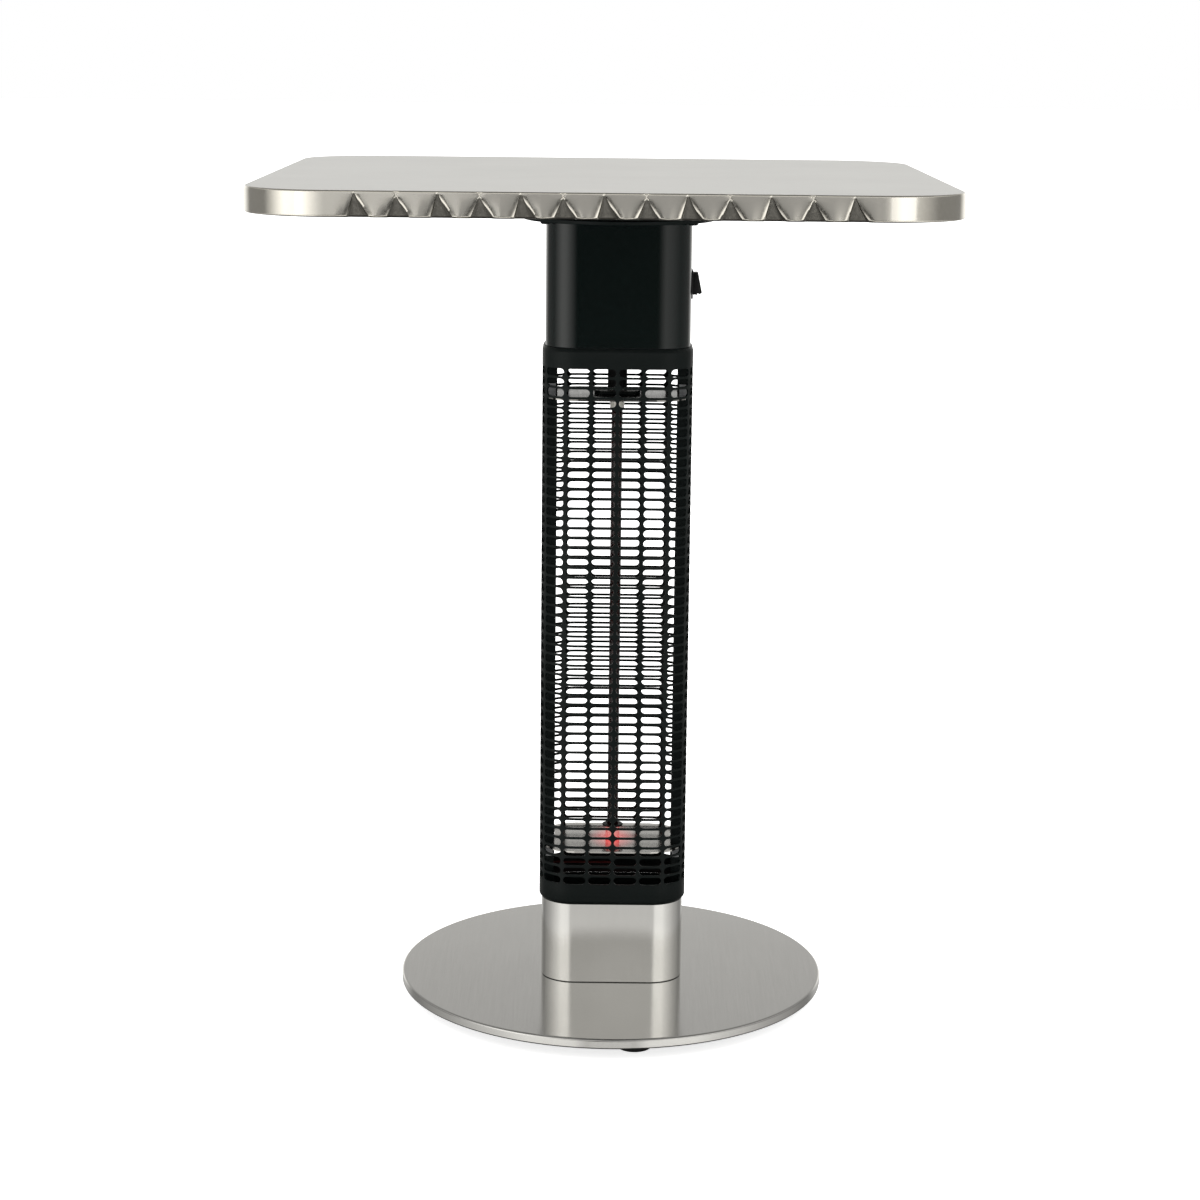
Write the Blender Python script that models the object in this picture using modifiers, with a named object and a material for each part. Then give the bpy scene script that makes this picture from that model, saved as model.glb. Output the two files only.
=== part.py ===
"""Table heater: a square stainless bistro table whose column holds an upright quartz lamp behind a slotted guard.

Metres, +Z up. The origin is on the floor under the middle of the table top. The front faces -Y.
Everything on the column hangs from the empty column_axis, everything of the top from top_centre.
"""
import math

import bmesh
import bpy
from mathutils import Matrix, Vector

# Gaps between pieces
SEAT_GAP = 0.0003          # between pieces that rest on or in each other
CUT_OVERRUN = 0.002        # how far a cutter runs past what it cuts

# Table top
TOP_HEIGHT = 0.7802        # floor to the upper surface
TOP_WIDTH = 0.600          # both ways, the top is square
TOP_CORNER_RADIUS = 0.073
TOP_EDGE_HEIGHT = 0.0218   # height of the pressed band
TOP_SKIN = 0.0012
TOP_EDGE_ROUND = 0.0014
TOP_LIP_WIDTH = 0.012      # the skin folds in under the core by this much
CORE_MARGIN = 0.0042       # from the band's outer face to the core, past the deepest dent
UNDERSIDE_SHEET = 0.0015
COLUMN_OFFSET = 0.0132     # the column stands this far right of the middle of the top
DENTS_PER_SIDE = 13
DENT_MARGIN = 0.0248       # from a corner's curve to the middle of the first dent
DENT_DEPTH = 0.0026        # at the pinch under the upper edge
DENT_FOOT_DEPTH = 0.0017   # at the band's lower edge
DENT_PINCH_DROP = 0.0038   # from the upper surface down to the pinch
DENT_PINCH_WIDTH = 0.0022
DENT_FOOT_WIDTH = 0.0078
DENT_LEAN = 0.0022         # the crease's foot stands this far to the side of its pinch

# Mounting of the top on the column
PLATE_THICKNESS = 0.0035
PLATE_RADIUS = 0.088
SPACER_THICKNESS = 0.015
SPACER_MARGIN = 0.004      # the spacer board stands back this far from the plate's edge
MOUNT_SCREW_MARGIN = 0.011 # from the plate's edge to the screws
MOUNT_SCREW_TURN_DEGREES = 30
MOUNT_SCREW_RADIUS = 0.0024
MOUNT_SCREW_HEAD_RADIUS = 0.0046
MOUNT_SCREW_HEAD_HEIGHT = 0.0026
MOUNT_SCREW_LENGTH = 0.030
HEAD_FLANGE_THICKNESS = 0.004
HEAD_BOLT_X = 0.045
HEAD_BOLT_Y = 0.030
HEAD_BOLT_RADIUS = 0.003
HEAD_BOLT_HEX = 0.010      # across flats
HEAD_BOLT_HEX_HEIGHT = 0.004
HEAD_BOLT_REACH = 0.006    # how far the bolts stand up into the spacer board

# Lamp guard, a slotted rounded-rectangle tube
GUARD_WIDTH = 0.1385
GUARD_DEPTH = 0.1057
GUARD_CORNER_RADIUS = 0.0334
GUARD_WALL = 0.0016
GUARD_FOOT_CHAMFER = 0.0020
GUARD_COLLAR_CHAMFER = 0.003
GUARD_BAND_HEIGHT = 0.01853    # from the guard's foot to the middle of its lowest rib
GUARD_COLLAR_HEIGHT = 0.01718  # from the middle of the highest rib to the guard's upper edge
RIB_HEIGHT = 0.0022
SLOT_ROWS = 53
UPRIGHT_WIDTH = 0.0024
UPRIGHTS = 18
FLUSH_PLACE_SHARE = 0.68   # how far round its corner an upright in the wall itself is looked for
RIB_CORNER_STEPS = 3
BAR_THICKNESS = 0.0014
WIDE_SPAN_SHARE = 0.4      # where a rib's extra point stands on the wide part of its corner
BAR_SET_BACK = 0.0012      # the bars pass this far behind the ribs, clear of their flat facets
LINING_OVERLAP = 0.0003    # how far the end rings of the bars sink into the wall
LINING_HEIGHT = 0.0085
LINING_RAMP = 0.0012

# Upper housing
HOUSING_LENGTH = 0.1133
HOUSING_INSET = 0.0027     # its outer face stands back this far from the guard's
HOUSING_WALL = 0.0015
BULKHEAD_RISE = 0.003      # from the housing's lower edge to the bulkhead
BULKHEAD_THICKNESS = 0.003
BULKHEAD_WIRE_HOLE_RADIUS = 0.005

# Stub column
STUB_LENGTH = 0.0776
STUB_INSET = 0.00225       # its outer face stands back this far from the guard's
STUB_WALL = 0.0015
FOOT_PLATE_THICKNESS = 0.004

# Side posts, channels open towards the lamp
POST_HALF_WIDTH = 0.020
POST_SHEET = 0.002
POST_CLEARANCE = 0.00035   # from the guard's bars to the web's outer face
POST_FLANGE_REACH = 0.0087 # from the web's outer face to the flanges' free edge

# Reflector plates
LOWER_REFLECTOR_RISE = 0.0506  # from the guard's foot to the lower plate's polished face
UPPER_REFLECTOR_DROP = 0.0481  # from the guard's upper edge to the upper plate's polished face
REFLECTOR_SHEET = 0.0015
REFLECTOR_MARGIN = 0.0004  # from the guard's bars
LAMP_HOLE_MARGIN = 0.0004
CLIP_SHEET = 0.0012
CLIP_WIDTH = 0.007
CLIP_HEIGHT = 0.011
CLIP_REACH = 0.010
CLIP_INSET = 0.0008        # from the post's free edge to the clip

# Lamp
TUBE_RADIUS = 0.0052
TUBE_WALL = 0.0012
TUBE_END_GAP = 0.0085      # from each polished face to the tube's end
FILAMENT_RADIUS = 0.0011
CAP_RADIUS = 0.0066
CAP_SOCKET_DEPTH = 0.004
CAP_FLANGE_RADIUS = 0.0092
CAP_FLANGE_THICKNESS = 0.002
CAP_TAIL = 0.006
CAP_PIN_RADIUS = 0.0013
CAP_PIN_LENGTH = 0.007
HOLDER_WIDTH = 0.043
HOLDER_DEPTH = 0.025
HOLDER_THICKNESS = 0.003
COLLAR_RADIUS = 0.0098
COLLAR_THICKNESS = 0.0014
BOOT_RADIUS = 0.0090       # the sleeve that shields the upper cap's tail and its lead

# Rocker switch on the right side of the housing
SWITCH_RISE = 0.0551       # from the housing's lower edge to the switch's middle
BEZEL_HEIGHT = 0.0262
BEZEL_WIDTH = 0.0225
BEZEL_THICKNESS = 0.0014
SWITCH_BODY_HEIGHT = 0.0246
SWITCH_BODY_WIDTH = 0.0196
SWITCH_BODY_DEPTH = 0.0215
SWITCH_POCKET_DEPTH = 0.0075
SWITCH_POCKET_HEIGHT = 0.0226
SWITCH_TAB_LENGTH = 0.0065
SWITCH_TAB_WIDTH = 0.0048
SWITCH_TAB_THICKNESS = 0.0008
SWITCH_TAB_SPACING = 0.007
ROCKER_WIDTH = 0.015
ROCKER_HALF_LENGTH = 0.0107
ROCKER_FACE_HALF_LENGTH = 0.0093
ROCKER_FACE_RISE = 0.0080  # from the pivot out to the rocker's face
ROCKER_KEEL = 0.0032       # from the pivot in to the rocker's back
ROCKER_KEEL_HALF_LENGTH = 0.004
ROCKER_PIVOT_OUT = 0.0004  # from the housing's side out to the pivot
ROCKER_TILT_DEGREES = 11.5

# Terminal block and thermal cut-out on the bulkhead
BLOCK_LENGTH = 0.034
BLOCK_WIDTH = 0.020
BLOCK_HEIGHT = 0.016
BLOCK_BARRIER_HEIGHT = 0.006
BLOCK_BARRIER_WIDTH = 0.002
BLOCK_X = -0.022
BLOCK_WAYS = 3
CUTOUT_RADIUS = 0.008
CUTOUT_HEIGHT = 0.009
CUTOUT_CAP_RADIUS = 0.0062
CUTOUT_CAP_HEIGHT = 0.003
CUTOUT_X = 0.024
CUTOUT_Y = -0.024

# Base
BASE_RADIUS = 0.2015
BASE_RIM_BOTTOM = 0.012
BASE_TOP = 0.0212
BASE_SHEET = 0.0012
BASE_EDGE_ROUND = 0.002
BASE_LIP_WIDTH = 0.006
WEIGHT_MARGIN = 0.0014     # from the cover's inner face to the weight
BASE_BOLT_X = 0.042
BASE_BOLT_Y = 0.028
BASE_BOLT_RADIUS = 0.004
BASE_BOLT_HEX = 0.013
BASE_BOLT_HEX_HEIGHT = 0.0053
BASE_BOLT_REACH = 0.005    # how far the bolts stand out of the foot plate's thread
BASE_WIRE_HOLE_RADIUS = 0.010
FOOT_RADIUS = 0.017
FOOT_TAPER = 0.002
FOOT_MARGIN = 0.0385       # from the base's rim to the middle of a foot
FOOT_RING_TURN_DEGREES = 7.5
FOOT_COUNT = 4
FOOT_STUD_RADIUS = 0.004   # the moulded stud that is pushed into the weight
FOOT_STUD_LENGTH = 0.0045

# Cable gland, low on the stub's back
GLAND_RISE = 0.0305        # from the stub's lower edge to the gland's middle
GLAND_RADIUS = 0.0095
GLAND_THREAD_RADIUS = 0.0078
GLAND_BORE_RADIUS = 0.0040
GLAND_BODY_LENGTH = 0.009
GLAND_DOME_LENGTH = 0.010
GLAND_DOME_RADIUS = 0.0068
GLAND_THREAD_LENGTH = 0.010
GLAND_NUT_LENGTH = 0.004
GLAND_NUT_RADIUS = 0.0115

# Tip-over switch: a weight that hangs between two ears
TIP_BASE_LENGTH = 0.036
TIP_BASE_WIDTH = 0.024
TIP_BASE_THICKNESS = 0.003
TIP_EAR_THICKNESS = 0.003
TIP_EAR_HEIGHT = 0.034
TIP_EAR_LENGTH = 0.012
TIP_PIN_RADIUS = 0.0015
TIP_PIVOT_DROP = 0.005     # from the ears' upper edge down to the pivot
TIP_ARM_WIDTH = 0.004
TIP_WEIGHT_RADIUS = 0.006
TIP_WEIGHT_DROP = 0.014    # from the pivot down to the weight's middle
TIP_X = -0.020

# Wires
WIRE_RADIUS = 0.0016
WIRE_CLEARANCE = 0.0008

# Facets
CORNER_STEPS = 4
TOP_CORNER_STEPS = 6
ROUND_STEPS = 12
BASE_STEPS = 36
SMALL_ROUND_STEPS = 8
HEX_STEPS = 6
PLATE_STEPS = 24
WEIGHT_STEPS = 24
LAMP_STEPS = 8
WELD_DISTANCE = 0.00001

# Sizes that follow from those above
TOP_BOTTOM = TOP_HEIGHT - TOP_EDGE_HEIGHT
DENT_PITCH = (TOP_WIDTH - 2 * TOP_CORNER_RADIUS - 2 * DENT_MARGIN) / (DENTS_PER_SIDE - 1)
CORE_BOTTOM = TOP_BOTTOM + TOP_SKIN + SEAT_GAP
UNDERSIDE = CORE_BOTTOM - SEAT_GAP - UNDERSIDE_SHEET
SPACER_BOTTOM = UNDERSIDE - SEAT_GAP - SPACER_THICKNESS
PLATE_BOTTOM = SPACER_BOTTOM - SEAT_GAP - PLATE_THICKNESS
HOUSING_TOP = PLATE_BOTTOM - SEAT_GAP
HOUSING_BOTTOM = HOUSING_TOP - HOUSING_LENGTH
BULKHEAD_BOTTOM = HOUSING_BOTTOM + BULKHEAD_RISE
BULKHEAD_TOP = BULKHEAD_BOTTOM + BULKHEAD_THICKNESS
STUB_BOTTOM = BASE_TOP + SEAT_GAP
STUB_TOP = STUB_BOTTOM + STUB_LENGTH
FOOT_PLATE_TOP = STUB_BOTTOM + FOOT_PLATE_THICKNESS
GUARD_BOTTOM = STUB_TOP + SEAT_GAP
GUARD_TOP = HOUSING_BOTTOM - SEAT_GAP
FIRST_RIB = GUARD_BOTTOM + GUARD_BAND_HEIGHT
LAST_RIB = GUARD_TOP - GUARD_COLLAR_HEIGHT
RIB_PITCH = (LAST_RIB - FIRST_RIB) / SLOT_ROWS
HALF_GUARD_X = GUARD_WIDTH / 2
HALF_GUARD_Y = GUARD_DEPTH / 2
FOOT_CHAMFER_INSET = STUB_INSET - SEAT_GAP
COLLAR_CHAMFER_INSET = HOUSING_INSET - SEAT_GAP
HOUSING_SIDE = HALF_GUARD_X - HOUSING_INSET
BAR_OUTER_INSET = GUARD_WALL + BAR_SET_BACK
BAR_INNER_INSET = BAR_OUTER_INSET + BAR_THICKNESS
POST_OUTER_FACE = HALF_GUARD_X - BAR_INNER_INSET - POST_CLEARANCE
POST_FREE_EDGE = POST_OUTER_FACE - POST_FLANGE_REACH
REFLECTOR_INSET = BAR_INNER_INSET + REFLECTOR_MARGIN
LOWER_REFLECTOR_FACE = GUARD_BOTTOM + LOWER_REFLECTOR_RISE
UPPER_REFLECTOR_FACE = GUARD_TOP - UPPER_REFLECTOR_DROP
TUBE_BOTTOM = LOWER_REFLECTOR_FACE + TUBE_END_GAP
TUBE_TOP = UPPER_REFLECTOR_FACE - TUBE_END_GAP
SWITCH_MIDDLE = HOUSING_BOTTOM + SWITCH_RISE
GLAND_MIDDLE = STUB_BOTTOM + GLAND_RISE
FOOT_RING_RADIUS = BASE_RADIUS - FOOT_MARGIN
WEIGHT_BOTTOM = BASE_RIM_BOTTOM + BASE_SHEET + SEAT_GAP
WEIGHT_TOP = BASE_TOP - BASE_SHEET - SEAT_GAP


# Collections, objects and materials

def clear_scene():
    """Remove every object that the file opened with."""
    for old in list(bpy.data.objects):
        bpy.data.objects.remove(old, do_unlink=True)


def add_collection(name):
    """A new collection under the scene's own."""
    collection = bpy.data.collections.new(name)
    bpy.context.scene.collection.children.link(collection)
    return collection


def make_material(name, colour, roughness, metallic):
    """A Principled material with the piece's colour, roughness and metallic value."""
    material = bpy.data.materials.new(name)
    material.use_nodes = True
    shader = material.node_tree.nodes["Principled BSDF"]
    shader.inputs["Base Color"].default_value = (*colour, 1.0)
    shader.inputs["Roughness"].default_value = roughness
    shader.inputs["Metallic"].default_value = metallic
    material.diffuse_color = (*colour, 1.0)
    return material


class Model:
    """The collections, the parent empties and the finishes that every piece shares."""

    def __init__(self):
        self.parts = add_collection("table_heater")
        self.cutters = add_collection("cutters")
        self.column = self.add_empty("column_axis", (COLUMN_OFFSET, 0, 0))
        self.top = self.add_empty("top_centre", (0, 0, 0))
        self.finishes = {
            "brushed_steel": ((0.60, 0.59, 0.57), 0.32, 1.0),
            "pressed_steel": ((0.66, 0.63, 0.58), 0.20, 1.0),
            "polished_steel": ((0.72, 0.71, 0.70), 0.10, 1.0),
            "zinc_steel": ((0.50, 0.51, 0.52), 0.40, 1.0),
            "plain_steel": ((0.30, 0.30, 0.30), 0.50, 1.0),
            "black_enamel": ((0.018, 0.020, 0.020), 0.38, 0.0),
            "black_plastic": ((0.012, 0.012, 0.013), 0.45, 0.0),
            "fibreboard": ((0.42, 0.30, 0.19), 0.85, 0.0),
            "grey_laminate": ((0.20, 0.20, 0.20), 0.60, 0.0),
            "dark_quartz": ((0.06, 0.045, 0.04), 0.08, 0.0),
            "carbon": ((0.02, 0.02, 0.02), 0.70, 0.0),
            "white_ceramic": ((0.78, 0.76, 0.72), 0.55, 0.0),
            "rubber": ((0.015, 0.015, 0.015), 0.80, 0.0),
            "silicone": ((0.55, 0.10, 0.08), 0.60, 0.0),
        }

    def add_empty(self, name, place, parent=None):
        """An empty that carries pieces; it isn't a piece itself."""
        empty = bpy.data.objects.new(name, None)
        empty.location = place
        empty.parent = parent
        self.parts.objects.link(empty)
        return empty

    def add_piece(self, name, data, finish, parent=None, place=(0, 0, 0), turn=(0, 0, 0)):
        """A named piece with a finish of its own, carried by the column unless told otherwise."""
        piece = bpy.data.objects.new(name, data)
        piece.parent = parent or self.column
        piece.location = place
        piece.rotation_euler = turn
        piece.data.materials.append(make_material(name + "_" + finish, *self.finishes[finish]))
        self.parts.objects.link(piece)
        return piece

    def add_cutter(self, name, data, parent=None, place=(0, 0, 0), turn=(0, 0, 0)):
        """A shape that only cuts or joins other pieces."""
        cutter = bpy.data.objects.new(name, data)
        cutter.parent = parent or self.column
        cutter.location = place
        cutter.rotation_euler = turn
        cutter.hide_render = True
        cutter.display_type = "WIRE"
        self.cutters.objects.link(cutter)
        return cutter


def apply_boolean(piece, cutter, operation="DIFFERENCE"):
    """Cut a piece with a cutter, or join the cutter to it."""
    modifier = piece.modifiers.new(operation.lower() + "_" + cutter.name, "BOOLEAN")
    modifier.operation = operation
    modifier.solver = "EXACT"
    modifier.object = cutter
    return modifier


# Mesh makers

def mesh_from(shape, name):
    """Turn a finished bmesh into mesh data."""
    mesh = bpy.data.meshes.new(name)
    shape.to_mesh(mesh)
    shape.free()
    return mesh


def box_mesh(name, size, centre=(0, 0, 0)):
    """A block of the given size about a centre."""
    shape = bmesh.new()
    bmesh.ops.create_cube(shape, size=1.0)
    bmesh.ops.scale(shape, vec=size, verts=shape.verts)
    bmesh.ops.translate(shape, vec=centre, verts=shape.verts)
    return mesh_from(shape, name)


def span_box_mesh(name, low, high):
    """A block between two opposite corners."""
    size = [b - a for a, b in zip(low, high)]
    centre = [(a + b) / 2 for a, b in zip(low, high)]
    return box_mesh(name, size, centre)


def rod_mesh(name, radius, low, high, steps=SMALL_ROUND_STEPS, places=((0, 0),)):
    """One or more upright rods from low to high, as one mesh of separate solids."""
    shape = bmesh.new()
    for x, y in places:
        bmesh.ops.create_cone(
            shape, cap_ends=True, segments=steps, radius1=radius, radius2=radius, depth=high - low,
            matrix=Matrix.Translation((x, y, (low + high) / 2)))
    return mesh_from(shape, name)


def hex_radius(across_flats):
    """Corner radius of a hexagon from its width across flats."""
    return across_flats / 2 / math.cos(math.pi / HEX_STEPS)


def turned_piece(model, name, profile, finish, steps=ROUND_STEPS, **placing):
    """A turned piece: a closed profile of radius and height, outer side running down, swept by Screw."""
    return add_screw(model.add_piece(name, profile_mesh(name, profile), finish, **placing), steps)


def profile_mesh(name, profile):
    """A profile in the XZ plane; it is closed unless both ends lie on the axis."""
    shape = bmesh.new()
    corners = [shape.verts.new((radius, 0, height)) for radius, height in profile]
    for a, b in zip(corners, corners[1:]):
        shape.edges.new((a, b))
    if profile[0][0] > 0 or profile[-1][0] > 0:
        shape.edges.new((corners[-1], corners[0]))
    return mesh_from(shape, name)


def add_screw(piece, steps):
    """Sweep a profile once round the piece's Z axis."""
    screw = piece.modifiers.new("turn", "SCREW")
    screw.steps = steps
    screw.render_steps = steps
    screw.use_merge_vertices = True
    screw.merge_threshold = WELD_DISTANCE
    screw.use_normal_calculate = False
    return piece


def perimeter_point(distance, half_x, half_y, radius, inset=0.0):
    """Point on a rounded rectangle at a distance along its edge from the front centre, moved in by inset."""
    arc = math.pi / 2 * radius
    straight_x, straight_y = half_x - radius, half_y - radius
    runs = [(straight_x, 0), (arc, 1), (2 * straight_y, 0), (arc, 1), (2 * straight_x, 0),
            (arc, 1), (2 * straight_y, 0), (arc, 1), (straight_x, 0)]
    point, heading = Vector((0, -half_y)), 0.0
    left = distance
    for length, is_arc in runs:
        step = min(left, length)
        inward = Vector((-math.sin(heading), math.cos(heading)))
        if is_arc:
            centre = point + radius * inward
            heading += step / radius
            inward = Vector((-math.sin(heading), math.cos(heading)))
            point = centre - radius * inward
        else:
            point = point + step * Vector((math.cos(heading), math.sin(heading)))
        left -= step
        if left <= 0:
            break
    return point + inset * inward


def perimeter_length(half_x, half_y, radius):
    """Length of the rounded rectangle's edge."""
    return 4 * (half_x + half_y - 2 * radius) + 2 * math.pi * radius


def corner_stations(half_x, half_y, radius, steps=CORNER_STEPS):
    """Distances along the edge at which a rounded rectangle needs a point: along its four arcs."""
    arc = math.pi / 2 * radius
    starts = [half_x - radius]
    for straight in (2 * (half_y - radius), 2 * (half_x - radius), 2 * (half_y - radius)):
        starts.append(starts[-1] + arc + straight)
    return [start + arc * k / steps for start in starts for k in range(steps + 1)]


def rounded_outline(half_x, half_y, radius, steps=CORNER_STEPS):
    """Points of a rounded rectangle, counter-clockwise."""
    stations = corner_stations(half_x, half_y, radius, steps)
    return [perimeter_point(s, half_x, half_y, radius) for s in stations]


def column_outline(inset, steps=CORNER_STEPS):
    """The column's rounded rectangle, moved in from the guard's outer face."""
    return rounded_outline(HALF_GUARD_X - inset, HALF_GUARD_Y - inset, GUARD_CORNER_RADIUS - inset, steps)


def circle_outline(radius, centre=(0, 0), steps=SMALL_ROUND_STEPS):
    """Points of a circle."""
    turns = [2 * math.pi * k / steps for k in range(steps)]
    return [(centre[0] + radius * math.cos(t), centre[1] + radius * math.sin(t)) for t in turns]


def plate_mesh(name, outlines, low, high):
    """A flat plate from low to high; the first outline is its edge, the others are holes or islands."""
    curve = bpy.data.curves.new(name, "CURVE")
    curve.dimensions = "2D"
    curve.fill_mode = "BOTH"
    curve.extrude = (high - low) / 2
    for outline in outlines:
        spline = curve.splines.new("POLY")
        spline.points.add(len(outline) - 1)
        for point, place in zip(spline.points, outline):
            point.co = (place[0], place[1], 0, 1)
        spline.use_cyclic_u = True
    holder = bpy.data.objects.new(name, curve)
    bpy.context.scene.collection.objects.link(holder)
    depsgraph = bpy.context.evaluated_depsgraph_get()
    mesh = bpy.data.meshes.new_from_object(holder.evaluated_get(depsgraph))
    bpy.data.objects.remove(holder, do_unlink=True)
    bpy.data.curves.remove(curve)
    shape = bmesh.new()
    shape.from_mesh(mesh)
    bmesh.ops.remove_doubles(shape, verts=shape.verts, dist=WELD_DISTANCE)
    bmesh.ops.translate(shape, vec=(0, 0, (low + high) / 2), verts=shape.verts)
    face_outwards(shape)
    shape.to_mesh(mesh)
    shape.free()
    return mesh


def face_outwards(shape):
    """Turn every face of a closed solid outwards."""
    bmesh.ops.recalc_face_normals(shape, faces=shape.faces)
    if shape.calc_volume(signed=True) < 0:
        bmesh.ops.reverse_faces(shape, faces=shape.faces)


def ring_stack(rings, keep=None, close_top=False, close_bottom=False):
    """Skin a stack of equal rings with faces; keep(level, column) says which faces stay."""
    shape = bmesh.new()
    loops = [[shape.verts.new(point) for point in ring] for ring in rings]
    count = len(rings[0])
    for level, (lower, upper) in enumerate(zip(loops, loops[1:])):
        for column in range(count):
            if keep is None or keep(level, column):
                after = (column + 1) % count
                shape.faces.new((lower[column], lower[after], upper[after], upper[column]))
    if close_top:
        shape.faces.new(loops[-1])
    if close_bottom:
        shape.faces.new(reversed(loops[0]))
    loose = [vert for vert in shape.verts if not vert.link_faces]
    bmesh.ops.delete(shape, geom=loose, context="VERTS")
    return shape


def add_wall(piece, thickness):
    """Give an open surface its wall, growing inwards from the face that was drawn."""
    solidify = piece.modifiers.new("wall", "SOLIDIFY")
    solidify.thickness = thickness
    solidify.offset = -1.0
    solidify.use_even_offset = True
    return solidify


# Table top

def dented_ring(inset, height, depth, width, lean):
    """One level of the top's edge: corner arcs, and a crease and a crest for each dent."""
    half, radius = TOP_WIDTH / 2, TOP_CORNER_RADIUS
    arc = math.pi / 2 * radius
    side = 2 * (half - radius)
    ring = []
    for turn in range(4):
        heading = math.pi / 2 * turn
        along = Vector((math.cos(heading), math.sin(heading)))
        inward = Vector((-math.sin(heading), math.cos(heading)))
        for k in range(DENTS_PER_SIDE):
            place = (k - (DENTS_PER_SIDE - 1) / 2) * DENT_PITCH + lean
            crease = along * (place - width / 2) - inward * (half - inset - depth)
            crest = along * (place + width / 2) - inward * (half - inset)
            ring += [crease, crest]
        start = side / 2 + turn * (side + arc)
        for k in range(TOP_CORNER_STEPS + 1):
            ring.append(perimeter_point(start + arc * k / TOP_CORNER_STEPS, half, half, radius, inset))
    return [(point.x, point.y, height) for point in ring]


def top_outline(inset, steps=TOP_CORNER_STEPS):
    """The top's rounded square, moved in from the band."""
    half = TOP_WIDTH / 2 - inset
    return rounded_outline(half, half, TOP_CORNER_RADIUS - inset, steps)


def make_table_top(model):
    """Stainless skin with its pressed band, folded round a board core."""
    band = [
        (0, TOP_BOTTOM, DENT_FOOT_DEPTH, DENT_FOOT_WIDTH, DENT_LEAN),
        (0, TOP_HEIGHT - DENT_PINCH_DROP, DENT_DEPTH, DENT_PINCH_WIDTH, 0),
        (0, TOP_HEIGHT - TOP_EDGE_ROUND, 0, DENT_PINCH_WIDTH, 0),
        (TOP_EDGE_ROUND, TOP_HEIGHT, 0, DENT_PINCH_WIDTH, 0),
    ]
    rings = [dented_ring(*level) for level in band]
    shape = ring_stack(rings, close_top=True, close_bottom=True)
    bmesh.ops.triangulate(shape, faces=shape.faces)
    skin = model.add_piece("table_top_skin", mesh_from(shape, "table_top_skin"), "pressed_steel",
                           parent=model.top)
    pocket = model.add_cutter("core_pocket", plate_mesh(
        "core_pocket", [top_outline(CORE_MARGIN)], TOP_BOTTOM + TOP_SKIN, TOP_HEIGHT - TOP_SKIN),
        parent=model.top)
    window = model.add_cutter("lip_window", plate_mesh(
        "lip_window", [top_outline(TOP_LIP_WIDTH)], TOP_BOTTOM - CUT_OVERRUN, TOP_BOTTOM + 2 * TOP_SKIN),
        parent=model.top)
    apply_boolean(skin, pocket)
    apply_boolean(skin, window)

    core = plate_mesh("table_top_core", [top_outline(CORE_MARGIN + SEAT_GAP)],
                      CORE_BOTTOM, TOP_HEIGHT - TOP_SKIN - SEAT_GAP)
    core_piece = model.add_piece("table_top_core", core, "fibreboard", parent=model.top)
    holes = model.add_cutter("core_screw_holes", rod_mesh(
        "core_screw_holes", MOUNT_SCREW_RADIUS + SEAT_GAP, CORE_BOTTOM - CUT_OVERRUN,
        mounting_screw_tip() + SEAT_GAP, places=screw_places()))
    apply_boolean(core_piece, holes)

    sheet = plate_mesh(
        "underside_sheet", [top_outline(TOP_LIP_WIDTH + SEAT_GAP)],
        UNDERSIDE, UNDERSIDE + UNDERSIDE_SHEET)
    sheet_piece = model.add_piece("underside_sheet", sheet, "grey_laminate", parent=model.top)
    apply_boolean(sheet_piece, holes)


def screw_places():
    """Where the four mounting screws stand, about the column's axis."""
    ring, turn = PLATE_RADIUS - MOUNT_SCREW_MARGIN, math.radians(MOUNT_SCREW_TURN_DEGREES)
    return corner_places(ring * math.cos(turn), ring * math.sin(turn))


def mounting_screw_tip():
    """Height of the mounting screws' points."""
    return PLATE_BOTTOM - SEAT_GAP + MOUNT_SCREW_LENGTH


def corner_places(x, y):
    """Four places, mirrored in both directions."""
    return [(sx * x, sy * y) for sx in (-1, 1) for sy in (-1, 1)]


def add_screws(model, name, places, shaft_radius, head_radius, head_bottom, head_top, tip):
    """Round-headed screws that point upwards, one piece each."""
    profile = [(0, tip), (shaft_radius, tip), (shaft_radius, head_top), (head_radius, head_top),
               (head_radius, head_bottom), (0, head_bottom)]
    for number, (x, y) in enumerate(places, 1):
        turned_piece(model, "%s_%d" % (name, number), profile, "zinc_steel", SMALL_ROUND_STEPS, place=(x, y, 0))


def add_bolts(model, name, places, shaft_radius, across_flats, head_bottom, head_top, tip):
    """Hexagon-headed bolts that point upwards, one piece each."""
    overlap = (head_top - head_bottom) / 2
    shaft = model.add_cutter(name + "_shaft", rod_mesh(name, shaft_radius, head_top - overlap, tip))
    for number, (x, y) in enumerate(places, 1):
        piece_name = "%s_%d" % (name, number)
        head = rod_mesh(piece_name, hex_radius(across_flats), head_bottom, head_top, HEX_STEPS)
        bolt = model.add_piece(piece_name, head, "zinc_steel", place=(x, y, 0))
        own_shaft = shaft if number == 1 else model.add_cutter(piece_name + "_shaft", shaft.data)
        own_shaft.location = (x, y, 0)
        apply_boolean(bolt, own_shaft, "UNION")


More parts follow.
